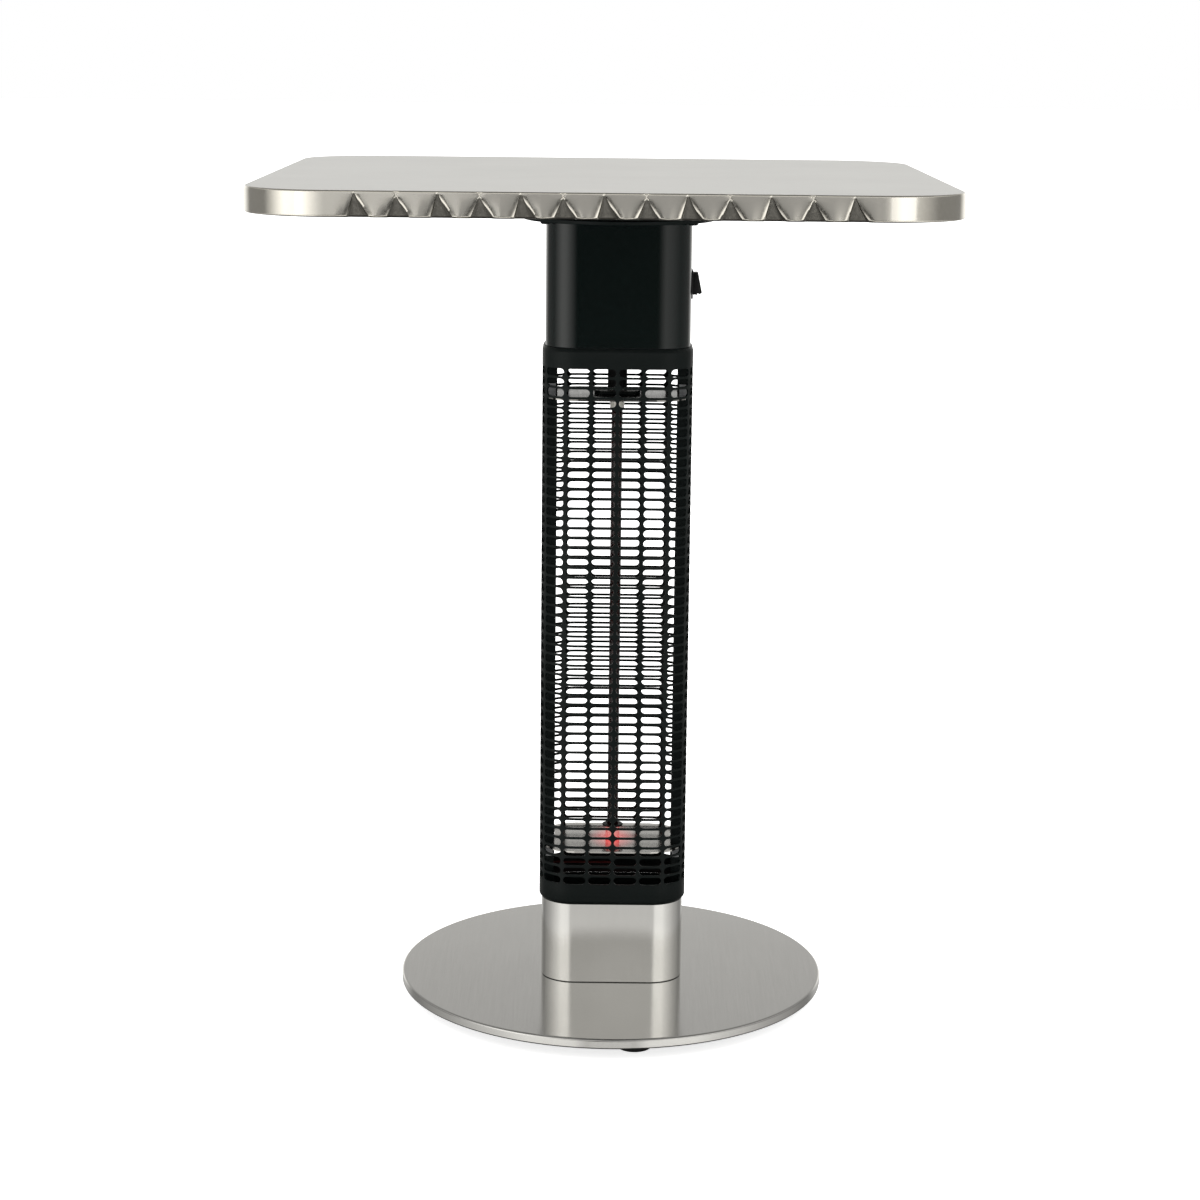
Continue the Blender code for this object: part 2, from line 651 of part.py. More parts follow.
def make_mounting(model):
    """Plate, spacer board, screws, and the flange and bolts that hold the housing up to the plate."""
    plate_top = PLATE_BOTTOM + PLATE_THICKNESS
    screw_hole = MOUNT_SCREW_RADIUS + SEAT_GAP
    bolt_hole = HEAD_BOLT_RADIUS + SEAT_GAP
    bolts = corner_places(HEAD_BOLT_X, HEAD_BOLT_Y)
    screw_holes = [circle_outline(screw_hole, place) for place in screw_places()]
    bolt_holes = [circle_outline(bolt_hole, place) for place in bolts]

    edge = circle_outline(PLATE_RADIUS, steps=PLATE_STEPS)
    plate = plate_mesh("mounting_plate", [edge] + screw_holes + bolt_holes, PLATE_BOTTOM, plate_top)
    model.add_piece("mounting_plate", plate, "black_enamel")

    edge = circle_outline(PLATE_RADIUS - SPACER_MARGIN, steps=PLATE_STEPS)
    board = plate_mesh("spacer_board", [edge] + screw_holes + bolt_holes,
                       SPACER_BOTTOM, SPACER_BOTTOM + SPACER_THICKNESS)
    model.add_piece("spacer_board", board, "fibreboard")

    head_top = PLATE_BOTTOM - SEAT_GAP
    add_screws(model, "mounting_screw", screw_places(), MOUNT_SCREW_RADIUS, MOUNT_SCREW_HEAD_RADIUS,
               head_top - MOUNT_SCREW_HEAD_HEIGHT, head_top, mounting_screw_tip())

    flange_low = HOUSING_TOP - HEAD_FLANGE_THICKNESS
    inset = HOUSING_INSET + HOUSING_WALL + SEAT_GAP
    flange = plate_mesh("head_flange", [column_outline(inset)] + bolt_holes, flange_low, HOUSING_TOP)
    model.add_piece("head_flange", flange, "plain_steel")
    head_top = flange_low - SEAT_GAP
    add_bolts(model, "head_bolt", bolts, HEAD_BOLT_RADIUS, HEAD_BOLT_HEX,
              head_top - HEAD_BOLT_HEX_HEIGHT, head_top, plate_top + HEAD_BOLT_REACH)


# Lamp guard

def guard_uprights():
    """Distances along the guard's edge at which its uprights stand, from the front centre."""
    length = perimeter_length(HALF_GUARD_X, HALF_GUARD_Y, GUARD_CORNER_RADIUS)
    return [length * k / UPRIGHTS for k in range(UPRIGHTS)]


def guard_corners():
    """Distances along the guard's edge at which its four corner arcs begin."""
    return corner_stations(HALF_GUARD_X, HALF_GUARD_Y, GUARD_CORNER_RADIUS, 1)[::2]


def flush_upright():
    """The upright that is part of the wall and joins its ribs, in the corner at the back left."""
    start = guard_corners()[2]
    place = start + FLUSH_PLACE_SHARE * math.pi / 2 * GUARD_CORNER_RADIUS
    return min(guard_uprights(), key=lambda s: abs(s - place))


def guard_ring_points(stations, inset, height):
    """One level of the guard."""
    ring = []
    for s in stations:
        point = perimeter_point(s, HALF_GUARD_X, HALF_GUARD_Y, GUARD_CORNER_RADIUS, inset)
        ring.append((point.x, point.y, height))
    return ring


def shell_stations():
    """Stations of the ribbed wall, and the one of them at which the flush upright begins."""
    arc = math.pi / 2 * GUARD_CORNER_RADIUS
    upright = flush_upright()
    edges = [upright - UPRIGHT_WIDTH / 2, upright + UPRIGHT_WIDTH / 2]
    stations = []
    for start in guard_corners():
        if start < upright < start + arc:
            wide = start + WIDE_SPAN_SHARE * (edges[0] - start)
            stations += [start, wide] + edges + [start + arc]
        else:
            stations += [start + arc * k / RIB_CORNER_STEPS for k in range(RIB_CORNER_STEPS + 1)]
    return stations, edges[0]


def guard_shell_mesh():
    """The guard's wall, drawn level by level, with the faces of its slots left out."""
    stations, upright_start = shell_stations()
    solid_column = stations.index(upright_start)
    levels = [
        (GUARD_BOTTOM, FOOT_CHAMFER_INSET, True),
        (GUARD_BOTTOM + GUARD_FOOT_CHAMFER, 0, True),
    ]
    for row in range(SLOT_ROWS):
        middle = FIRST_RIB + row * RIB_PITCH
        levels.append((middle + RIB_HEIGHT / 2, 0, False))
        levels.append((middle + RIB_PITCH - RIB_HEIGHT / 2, 0, True))
    levels.append((GUARD_TOP - GUARD_COLLAR_CHAMFER, 0, True))
    levels.append((GUARD_TOP, COLLAR_CHAMFER_INSET, True))
    rings = [guard_ring_points(stations, inset, height) for height, inset, _ in levels]
    solid_levels = [is_solid for _, _, is_solid in levels]
    shape = ring_stack(rings, lambda level, column: solid_levels[level] or column == solid_column)
    return mesh_from(shape, "lamp_guard")


def guard_bars_mesh():
    """The other uprights, just inside the ribs, with the end rings that join them to the wall."""
    half_width = UPRIGHT_WIDTH / 2
    flush = flush_upright()
    bars = [s for s in guard_uprights() if s != flush]
    length = perimeter_length(HALF_GUARD_X, HALF_GUARD_Y, GUARD_CORNER_RADIUS)
    starts = [(s - half_width) % length for s in bars]
    arc_ends = corner_stations(HALF_GUARD_X, HALF_GUARD_Y, GUARD_CORNER_RADIUS, 1)
    stations = sorted(starts + [(s + half_width) % length for s in bars] + [flush] + arc_ends)
    solid_columns = {stations.index(s) for s in starts}
    ring_inset = GUARD_WALL - LINING_OVERLAP
    low, high = FIRST_RIB, LAST_RIB
    levels = [
        (low - LINING_HEIGHT, ring_inset, True),
        (low - LINING_RAMP / 2, ring_inset, True),
        (low + LINING_RAMP / 2, BAR_OUTER_INSET, False),
        (high - LINING_RAMP / 2, BAR_OUTER_INSET, True),
        (high + LINING_RAMP / 2, ring_inset, True),
        (high + LINING_HEIGHT, ring_inset, True),
    ]
    rings = [guard_ring_points(stations, inset, height) for height, inset, _ in levels]
    solid_levels = [is_solid for _, _, is_solid in levels]
    shape = ring_stack(rings, lambda level, column: solid_levels[level] or column in solid_columns)
    return mesh_from(shape, "guard_bars")


def make_guard(model):
    """Slotted guard: ribs joined by one upright in the wall, with the other uprights as bars behind them."""
    guard = model.add_piece("lamp_guard", guard_shell_mesh(), "black_enamel")
    add_wall(guard, GUARD_WALL)
    bars = model.add_cutter("guard_bars", guard_bars_mesh())
    add_wall(bars, BAR_THICKNESS)
    apply_boolean(guard, bars, "UNION")


# Column: housing, stub and posts

def tube_mesh(name, inset, wall, low, high):
    """A length of the column's rounded-rectangle tube."""
    return plate_mesh(name, [column_outline(inset), column_outline(inset + wall)], low, high)


def make_upper_housing(model):
    """Enamelled housing with the switch's cut-out in its right side."""
    housing = model.add_piece(
        "upper_housing", tube_mesh("upper_housing", HOUSING_INSET, HOUSING_WALL, HOUSING_BOTTOM, HOUSING_TOP),
        "black_enamel")
    half_height = SWITCH_BODY_HEIGHT / 2 + SEAT_GAP
    half_width = SWITCH_BODY_WIDTH / 2 + SEAT_GAP
    opening = span_box_mesh(
        "switch_opening",
        (HOUSING_SIDE - HOUSING_WALL - CUT_OVERRUN, -half_width, SWITCH_MIDDLE - half_height),
        (HOUSING_SIDE + CUT_OVERRUN, half_width, SWITCH_MIDDLE + half_height))
    apply_boolean(housing, model.add_cutter("switch_opening", opening))


def make_bulkhead(model):
    """Plate that closes the housing's lower end and carries the terminal block and the cut-out."""
    inset = HOUSING_INSET + HOUSING_WALL + SEAT_GAP
    wire_hole = circle_outline(BULKHEAD_WIRE_HOLE_RADIUS)
    passages = [circle_outline(BULKHEAD_WIRE_HOLE_RADIUS, (side * wire_post_x(), 0)) for side in (-1, 1)]
    plate = plate_mesh("upper_bulkhead", [column_outline(inset), wire_hole] + passages,
                       BULKHEAD_BOTTOM, BULKHEAD_TOP)
    model.add_piece("upper_bulkhead", plate, "zinc_steel")


def wire_post_x():
    """Where a wire runs inside a post, from the column's axis."""
    return (POST_FREE_EDGE + POST_OUTER_FACE - POST_SHEET) / 2


def post_outline(side):
    """Channel section, open towards the lamp."""
    outer, free = POST_OUTER_FACE, POST_FREE_EDGE
    inner = outer - POST_SHEET
    wide, narrow = POST_HALF_WIDTH, POST_HALF_WIDTH - POST_SHEET
    section = [(free, -wide), (outer, -wide), (outer, wide), (free, wide),
               (free, narrow), (inner, narrow), (inner, -narrow), (free, -narrow)]
    return [(side * x, y) for x, y in section]


def make_side_posts(model):
    """Two channels that carry the top past the lamp."""
    low, high = FOOT_PLATE_TOP + SEAT_GAP, BULKHEAD_BOTTOM - SEAT_GAP
    for side, name in ((-1, "side_post_left"), (1, "side_post_right")):
        model.add_piece(name, plate_mesh(name, [post_outline(side)], low, high), "black_enamel")


def make_stub_column(model):
    """Brushed stub between base and guard, with the hole for the cable gland in its back."""
    stub = model.add_piece(
        "stub_column", tube_mesh("stub_column", STUB_INSET, STUB_WALL, STUB_BOTTOM, STUB_TOP), "brushed_steel")
    back = HALF_GUARD_Y - STUB_INSET
    hole = rod_mesh("gland_hole", GLAND_THREAD_RADIUS + SEAT_GAP, -STUB_WALL - CUT_OVERRUN, CUT_OVERRUN,
                    ROUND_STEPS)
    apply_boolean(stub, model.add_cutter(
        "gland_hole", hole, place=(0, back, GLAND_MIDDLE), turn=(-math.pi / 2, 0, 0)))


def make_foot_plate(model):
    """Plate at the foot of the stub, bolted to the weight."""
    holes = [circle_outline(BASE_BOLT_RADIUS + SEAT_GAP, place)
             for place in corner_places(BASE_BOLT_X, BASE_BOLT_Y)]
    inset = STUB_INSET + STUB_WALL + SEAT_GAP
    plate = plate_mesh("foot_plate", [column_outline(inset), circle_outline(BASE_WIRE_HOLE_RADIUS, (BASE_BOLT_X / 2, 0))]
                       + holes, STUB_BOTTOM, FOOT_PLATE_TOP)
    model.add_piece("foot_plate", plate, "zinc_steel")


# Reflectors, clips and lamp

def reflector_outline():
    """The column's outline inside the guard's bars, notched for the posts."""
    free = POST_FREE_EDGE - SEAT_GAP
    wide = POST_HALF_WIDTH + SEAT_GAP
    edge = column_outline(REFLECTOR_INSET)
    side = HALF_GUARD_X - REFLECTOR_INSET
    outline = []
    for point in edge:
        outline.append(tuple(point))
    right = [(side, -wide), (free, -wide), (free, wide), (side, wide)]
    left = [(-x, -y) for x, y in right]
    front_right = [p for p in outline if p[0] > 0 and p[1] < -wide]
    back_right = [p for p in outline if p[0] > 0 and p[1] > wide]
    back_left = [p for p in outline if p[0] < 0 and p[1] > wide]
    front_left = [p for p in outline if p[0] < 0 and p[1] < -wide]
    x_notch = notch_edge_x(wide)
    right[0], right[-1] = (x_notch, -wide), (x_notch, wide)
    left[0], left[-1] = (-x_notch, wide), (-x_notch, -wide)
    return front_right + right + back_right + back_left + left + front_left


def notch_edge_x(offset):
    """Where the reflector's rounded edge crosses a given distance from the middle plane."""
    half_x, half_y = HALF_GUARD_X - REFLECTOR_INSET, HALF_GUARD_Y - REFLECTOR_INSET
    radius = GUARD_CORNER_RADIUS - REFLECTOR_INSET
    beyond = max(offset - (half_y - radius), 0)
    return half_x - radius + math.sqrt(radius ** 2 - beyond ** 2)


def make_reflectors(model):
    """Polished plates above and below the lamp."""
    hole = circle_outline(CAP_RADIUS + LAMP_HOLE_MARGIN, steps=LAMP_STEPS)
    spans = (("lower_reflector", LOWER_REFLECTOR_FACE - REFLECTOR_SHEET, LOWER_REFLECTOR_FACE),
             ("upper_reflector", UPPER_REFLECTOR_FACE, UPPER_REFLECTOR_FACE + REFLECTOR_SHEET))
    for name, low, high in spans:
        model.add_piece(name, plate_mesh(name, [reflector_outline(), hole], low, high), "polished_steel")


def add_clips(model):
    """Small angles that hold both reflectors to the front flanges of the posts."""
    profile = [(0, 0), (CLIP_REACH, 0), (CLIP_REACH, CLIP_SHEET), (CLIP_SHEET, CLIP_SHEET),
               (CLIP_SHEET, CLIP_HEIGHT), (0, CLIP_HEIGHT)]
    backs = (("lower", LOWER_REFLECTOR_FACE - REFLECTOR_SHEET - SEAT_GAP, -1),
             ("upper", UPPER_REFLECTOR_FACE + REFLECTOR_SHEET + SEAT_GAP, 1))
    near = POST_HALF_WIDTH + SEAT_GAP
    for level, face, away in backs:
        for side, hand in ((-1, "left"), (1, "right")):
            name = "clip_%s_%s" % (level, hand)
            middle = side * (POST_FREE_EDGE + CLIP_INSET + CLIP_WIDTH / 2)
            mesh = plate_mesh(name, [profile], middle - CLIP_WIDTH / 2, middle + CLIP_WIDTH / 2)
            mesh.transform(Matrix(((0, 0, 1), (-1, 0, 0), (0, away, 0))).to_4x4())
            if away > 0:
                mesh.flip_normals()
            model.add_piece(name, mesh, "zinc_steel", place=(0, -near, face))


def oval_outline(width, depth, steps=SMALL_ROUND_STEPS):
    """A slot-shaped outline with round ends."""
    radius = depth / 2
    return rounded_outline(width / 2, radius, radius * (1 - WELD_DISTANCE / radius), steps // 2)


def make_lamp_end(model, name, up):
    """Cap, holder plate and contact pin at one end of the lamp; up is 1 at the top and -1 at the bottom."""
    if up > 0:
        tube_end, plate_back = TUBE_TOP, UPPER_REFLECTOR_FACE + REFLECTOR_SHEET
    else:
        tube_end, plate_back = TUBE_BOTTOM, LOWER_REFLECTOR_FACE - REFLECTOR_SHEET
    socket = TUBE_RADIUS + SEAT_GAP
    floor = tube_end + up * SEAT_GAP
    mouth = floor - up * CAP_SOCKET_DEPTH
    holder_near = plate_back + up * SEAT_GAP
    holder_far = holder_near + up * HOLDER_THICKNESS
    flange_near = holder_far + up * SEAT_GAP
    flange_far = flange_near + up * CAP_FLANGE_THICKNESS
    tail = flange_far + up * CAP_TAIL
    pin = tail + up * CAP_PIN_LENGTH
    profile = [(0, pin), (CAP_PIN_RADIUS, pin), (CAP_PIN_RADIUS, tail), (CAP_RADIUS, tail),
               (CAP_RADIUS, flange_far), (CAP_FLANGE_RADIUS, flange_far), (CAP_FLANGE_RADIUS, flange_near),
               (CAP_RADIUS, flange_near), (CAP_RADIUS, mouth), (socket, mouth), (socket, floor), (0, floor)]
    if up < 0:
        profile.reverse()
    turned_piece(model, "lamp_cap_" + name, profile, "white_ceramic", LAMP_STEPS)
    hole = circle_outline(CAP_RADIUS + SEAT_GAP, steps=LAMP_STEPS)
    outline = oval_outline(HOLDER_WIDTH, HOLDER_DEPTH)
    low, high = sorted((holder_near, holder_far))
    holder = plate_mesh("lamp_holder_" + name, [outline, hole], low, high)
    model.add_piece("lamp_holder_" + name, holder, "black_enamel")
    return mouth, flange_far, tail


def make_lamp_boot(model, low, tail):
    """Sleeve that stands on the upper cap's flange and shields the cap's tail and the lead up to the bulkhead."""
    socket = CAP_RADIUS + SEAT_GAP
    bore = WIRE_RADIUS + WIRE_CLEARANCE
    low, shoulder, high = low + SEAT_GAP, tail + SEAT_GAP, BULKHEAD_BOTTOM - SEAT_GAP
    profile = [(BOOT_RADIUS, high), (BOOT_RADIUS, low), (socket, low), (socket, shoulder), (bore, shoulder),
               (bore, high)]
    turned_piece(model, "lamp_boot", profile, "rubber", LAMP_STEPS)


def make_lamp(model):
    """Quartz tube, filament, caps, holders and the collar above the lower reflector."""
    inner = TUBE_RADIUS - TUBE_WALL
    tube = [(TUBE_RADIUS, TUBE_TOP), (TUBE_RADIUS, TUBE_BOTTOM), (inner, TUBE_BOTTOM), (inner, TUBE_TOP)]
    turned_piece(model, "lamp_tube", tube, "dark_quartz", LAMP_STEPS)
    _, upper_flange, upper_tail = make_lamp_end(model, "upper", 1)
    make_lamp_boot(model, upper_flange, upper_tail)
    lower_mouth, _, _ = make_lamp_end(model, "lower", -1)
    filament = rod_mesh("lamp_filament", FILAMENT_RADIUS, TUBE_BOTTOM, TUBE_TOP)
    model.add_piece("lamp_filament", filament, "carbon")
    low = lower_mouth + SEAT_GAP
    high = low + COLLAR_THICKNESS
    socket = TUBE_RADIUS + SEAT_GAP
    collar = [(COLLAR_RADIUS, high), (COLLAR_RADIUS, low), (socket, low), (socket, high)]
    turned_piece(model, "lamp_collar", collar, "black_enamel", LAMP_STEPS)
    add_clips(model)


# Switch

def make_switch_body(model):
    """Bezel, body behind it, the pocket that the rocker turns in, and the contact tabs."""
    z = SWITCH_MIDDLE
    body_outer = HOUSING_SIDE + SEAT_GAP + BEZEL_THICKNESS / 2
    body = span_box_mesh(
        "switch_body", (body_outer - SWITCH_BODY_DEPTH, -SWITCH_BODY_WIDTH / 2, z - SWITCH_BODY_HEIGHT / 2),
        (body_outer, SWITCH_BODY_WIDTH / 2, z + SWITCH_BODY_HEIGHT / 2))
    piece = model.add_piece("switch_body", body, "black_plastic")
    bezel_face = HOUSING_SIDE + SEAT_GAP + BEZEL_THICKNESS
    bezel = span_box_mesh(
        "switch_bezel", (HOUSING_SIDE + SEAT_GAP, -BEZEL_WIDTH / 2, z - BEZEL_HEIGHT / 2),
        (bezel_face, BEZEL_WIDTH / 2, z + BEZEL_HEIGHT / 2))
    apply_boolean(piece, model.add_cutter("switch_bezel", bezel), "UNION")
    half_width = ROCKER_WIDTH / 2 + SEAT_GAP
    pocket = span_box_mesh(
        "rocker_pocket", (bezel_face - SWITCH_POCKET_DEPTH, -half_width, z - SWITCH_POCKET_HEIGHT / 2),
        (bezel_face + CUT_OVERRUN, half_width, z + SWITCH_POCKET_HEIGHT / 2))
    apply_boolean(piece, model.add_cutter("rocker_pocket", pocket))
    back = body_outer - SWITCH_BODY_DEPTH
    for k in (-1, 0, 1):
        middle = z + k * SWITCH_TAB_SPACING
        tab = span_box_mesh(
            "switch_tab", (back - SWITCH_TAB_LENGTH, -SWITCH_TAB_WIDTH / 2, middle - SWITCH_TAB_THICKNESS / 2),
            (back + CUT_OVERRUN, SWITCH_TAB_WIDTH / 2, middle + SWITCH_TAB_THICKNESS / 2))
        apply_boolean(piece, model.add_cutter("switch_tab", tab), "UNION")


def rocker_section():
    """The rocker's side view about its pivot: length along the switch, rise out of it."""
    face, half, rise = ROCKER_FACE_HALF_LENGTH, ROCKER_HALF_LENGTH, ROCKER_FACE_RISE
    shoulder_share, tooth_share, notch_share, waist_share = 0.06, 0.64, 0.78, 0.42
    tooth, notch = 0.98 * half, 0.94 * face
    return [(face, rise), (half, shoulder_share * rise), (ROCKER_KEEL_HALF_LENGTH, -ROCKER_KEEL),
            (-ROCKER_KEEL_HALF_LENGTH, -ROCKER_KEEL), (-half, shoulder_share * rise),
            (-notch, waist_share * rise), (-tooth, tooth_share * rise), (-notch, notch_share * rise),
            (-face, rise)]


def make_rocker(model):
    """Rocker on its pivot; at rest its lower end stands out, as in the picture."""
    pivot = model.add_empty("rocker_pivot", (HOUSING_SIDE + ROCKER_PIVOT_OUT, 0, SWITCH_MIDDLE), model.column)
    mesh = plate_mesh("switch_rocker", [rocker_section()], -ROCKER_WIDTH / 2, ROCKER_WIDTH / 2)
    upright = Matrix(((0, 1, 0), (0, 0, 1), (1, 0, 0))).to_4x4()
    tilt = Matrix.Rotation(-math.radians(ROCKER_TILT_DEGREES), 4, "Y")
    mesh.transform(tilt @ upright)
    model.add_piece("switch_rocker", mesh, "black_plastic", parent=pivot)


# Terminal block, cut-out and tip-over switch

def make_terminal_block(model):
    """Ceramic block with barriers between its ways."""
    low = BULKHEAD_TOP + SEAT_GAP
    base = span_box_mesh("terminal_block", (BLOCK_X - BLOCK_LENGTH / 2, -BLOCK_WIDTH / 2, low),
                         (BLOCK_X + BLOCK_LENGTH / 2, BLOCK_WIDTH / 2, low + BLOCK_HEIGHT))
    piece = model.add_piece("terminal_block", base, "white_ceramic")
    pitch = (BLOCK_LENGTH - BLOCK_BARRIER_WIDTH) / BLOCK_WAYS
    channel = pitch - BLOCK_BARRIER_WIDTH
    for k in range(BLOCK_WAYS):
        start = BLOCK_X - BLOCK_LENGTH / 2 + BLOCK_BARRIER_WIDTH + k * pitch
        top = low + BLOCK_HEIGHT
        groove = span_box_mesh(
            "block_way", (start, -BLOCK_WIDTH / 2 - CUT_OVERRUN, top - BLOCK_BARRIER_HEIGHT),
            (start + channel, BLOCK_WIDTH / 2 + CUT_OVERRUN, top + CUT_OVERRUN))
        apply_boolean(piece, model.add_cutter("block_way", groove))


def make_thermal_cutout(model):
    """Round bimetal cut-out on the bulkhead."""
    low = BULKHEAD_TOP + SEAT_GAP
    waist = low + CUTOUT_CAP_HEIGHT
    high = low + CUTOUT_HEIGHT
    profile = [(0, high), (CUTOUT_RADIUS, high), (CUTOUT_RADIUS, waist), (CUTOUT_CAP_RADIUS, waist),
               (CUTOUT_CAP_RADIUS, low), (0, low)]
    turned_piece(model, "thermal_cutout", profile, "black_plastic", SMALL_ROUND_STEPS,
                 place=(CUTOUT_X, CUTOUT_Y, 0))


def make_tip_switch(model):
    """Bracket with two ears, and the weight that hangs between them and opens the circuit when tilted."""
    low = FOOT_PLATE_TOP + SEAT_GAP
    base = span_box_mesh("tip_switch_body", (TIP_X - TIP_BASE_LENGTH / 2, -TIP_BASE_WIDTH / 2, low),
                         (TIP_X + TIP_BASE_LENGTH / 2, TIP_BASE_WIDTH / 2, low + TIP_BASE_THICKNESS))
    body = model.add_piece("tip_switch_body", base, "black_plastic")
    pivot_z = low + TIP_EAR_HEIGHT - TIP_PIVOT_DROP
    for side in (-1, 1):
        near, far = sorted((side * (TIP_BASE_WIDTH / 2 - TIP_EAR_THICKNESS), side * TIP_BASE_WIDTH / 2))
        ear = span_box_mesh("tip_ear", (TIP_X - TIP_EAR_LENGTH / 2, near, low + TIP_BASE_THICKNESS / 2),
                            (TIP_X + TIP_EAR_LENGTH / 2, far, low + TIP_EAR_HEIGHT))
        apply_boolean(body, model.add_cutter("tip_ear", ear), "UNION")
    bore = rod_mesh("tip_bore", TIP_PIN_RADIUS + SEAT_GAP, -TIP_BASE_WIDTH, TIP_BASE_WIDTH)
    apply_boolean(body, model.add_cutter("tip_bore", bore, place=(TIP_X, 0, pivot_z),
                                         turn=(math.pi / 2, 0, 0)))

    pivot = model.add_empty("tip_pivot", (TIP_X, 0, pivot_z), model.column)
    half_pin = TIP_BASE_WIDTH / 2 + TIP_PIN_RADIUS
    pin = rod_mesh("tip_switch_weight", TIP_PIN_RADIUS, -half_pin, half_pin)
    pin.transform(Matrix.Rotation(math.pi / 2, 4, "X"))
    weight = model.add_piece("tip_switch_weight", pin, "zinc_steel", parent=pivot)
    half_arm = TIP_ARM_WIDTH / 2
    arm = span_box_mesh("tip_arm", (-half_arm, -half_arm, -TIP_WEIGHT_DROP), (half_arm, half_arm, half_arm))
    apply_boolean(weight, model.add_cutter("tip_arm", arm, parent=pivot), "UNION")
    half_bob = TIP_BASE_WIDTH / 2 - TIP_EAR_THICKNESS - WIRE_CLEARANCE
    bob = rod_mesh("tip_bob", TIP_WEIGHT_RADIUS, -half_bob, half_bob)
    apply_boolean(weight, model.add_cutter("tip_bob", bob, parent=pivot, place=(0, 0, -TIP_WEIGHT_DROP),
                                           turn=(math.pi / 2, 0, 0)), "UNION")


# Base

def make_base(model):
    """Cover disc with a turned-in lip, the weight inside it, feet, screws and bolts."""
    radius, edge = BASE_RADIUS, BASE_EDGE_ROUND
    hole = BASE_WIRE_HOLE_RADIUS
    inner = radius - BASE_SHEET
    under = BASE_TOP - BASE_SHEET
    profile = [
        (hole, BASE_TOP), (radius - edge, BASE_TOP), (radius, BASE_TOP - edge),
        (radius, BASE_RIM_BOTTOM), (radius - BASE_LIP_WIDTH, BASE_RIM_BOTTOM),
        (radius - BASE_LIP_WIDTH, BASE_RIM_BOTTOM + BASE_SHEET), (inner, BASE_RIM_BOTTOM + BASE_SHEET),
        (inner, under), (hole, under)]
    cover = turned_piece(model, "base_cover", profile, "brushed_steel", BASE_STEPS)
    bolts = corner_places(BASE_BOLT_X, BASE_BOLT_Y)
    bolt_holes = model.add_cutter("base_bolt_holes", rod_mesh(
        "base_bolt_holes", BASE_BOLT_RADIUS + SEAT_GAP, BASE_RIM_BOTTOM - CUT_OVERRUN,
        BASE_TOP + CUT_OVERRUN, places=bolts))
    apply_boolean(cover, bolt_holes)

    weight_radius = inner - WEIGHT_MARGIN
    weight = turned_piece(model, "base_weight", [
        (hole, WEIGHT_TOP), (weight_radius, WEIGHT_TOP), (weight_radius, WEIGHT_BOTTOM),
        (hole, WEIGHT_BOTTOM)], "plain_steel", WEIGHT_STEPS)
    apply_boolean(weight, bolt_holes)
    foot_holes = model.add_cutter("foot_stud_holes", rod_mesh(
        "foot_stud_holes", FOOT_STUD_RADIUS + SEAT_GAP, WEIGHT_BOTTOM - CUT_OVERRUN,
        WEIGHT_BOTTOM + FOOT_STUD_LENGTH, ROUND_STEPS, foot_places()))
    apply_boolean(weight, foot_holes)

    head_top = WEIGHT_BOTTOM - SEAT_GAP
    add_bolts(model, "base_bolt", bolts, BASE_BOLT_RADIUS, BASE_BOLT_HEX,
              head_top - BASE_BOLT_HEX_HEIGHT, head_top, FOOT_PLATE_TOP + BASE_BOLT_REACH)


def foot_places():
    """Where the feet stand, about the column's axis."""
    turn = math.radians(FOOT_RING_TURN_DEGREES) - math.pi / 2
    angles = [turn + 2 * math.pi * k / FOOT_COUNT for k in range(FOOT_COUNT)]
    return [(FOOT_RING_RADIUS * math.cos(a), FOOT_RING_RADIUS * math.sin(a)) for a in angles]


def make_feet(model):
    """Rubber feet with moulded studs that are pushed into the weight."""
    top = WEIGHT_BOTTOM - SEAT_GAP
    profile = [(0, top + FOOT_STUD_LENGTH), (FOOT_STUD_RADIUS, top + FOOT_STUD_LENGTH), (FOOT_STUD_RADIUS, top),
               (FOOT_RADIUS, top), (FOOT_RADIUS, FOOT_TAPER), (FOOT_RADIUS - FOOT_TAPER, 0), (0, 0)]
    for number, (x, y) in enumerate(foot_places(), 1):
        turned_piece(model, "rubber_foot_%d" % number, profile, "rubber", ROUND_STEPS, place=(x, y, 0))


# Gland and wires

def make_gland(model):
    """Gland through the stub's back and its nut inside; its axis points backwards."""
    back = HALF_GUARD_Y - STUB_INSET
    seat = SEAT_GAP
    bore, dome = GLAND_BORE_RADIUS, GLAND_BODY_LENGTH + GLAND_DOME_LENGTH
    profile = [(bore, dome), (GLAND_DOME_RADIUS, dome), (GLAND_RADIUS, GLAND_BODY_LENGTH), (GLAND_RADIUS, seat),
               (GLAND_THREAD_RADIUS, seat), (GLAND_THREAD_RADIUS, -GLAND_THREAD_LENGTH),
               (bore, -GLAND_THREAD_LENGTH)]
    place, turn = (0, back, GLAND_MIDDLE), (-math.pi / 2, 0, 0)
    turned_piece(model, "cable_gland", profile, "black_plastic", ROUND_STEPS, place=place, turn=turn)
    near = -STUB_WALL - SEAT_GAP
    far = near - GLAND_NUT_LENGTH
    clear = GLAND_THREAD_RADIUS + SEAT_GAP
    outlines = [circle_outline(GLAND_NUT_RADIUS, steps=HEX_STEPS), circle_outline(clear, steps=ROUND_STEPS)]
    model.add_piece("gland_nut", plate_mesh("gland_nut", outlines, far, near), "black_plastic",
                    place=place, turn=turn)


def wire_object(model, name, points, radius, finish):
    """A wire that the column holds along its whole run, as a bevelled curve with filled caps."""
    curve = bpy.data.curves.new(name, "CURVE")
    curve.dimensions = "3D"
    curve.bevel_depth = radius
    curve.bevel_resolution = 1
    curve.use_fill_caps = True
    spline = curve.splines.new("POLY")
    spline.points.add(len(points) - 1)
    for point, place in zip(spline.points, points):
        point.co = (*place, 1)
    return model.add_piece(name, curve, finish)


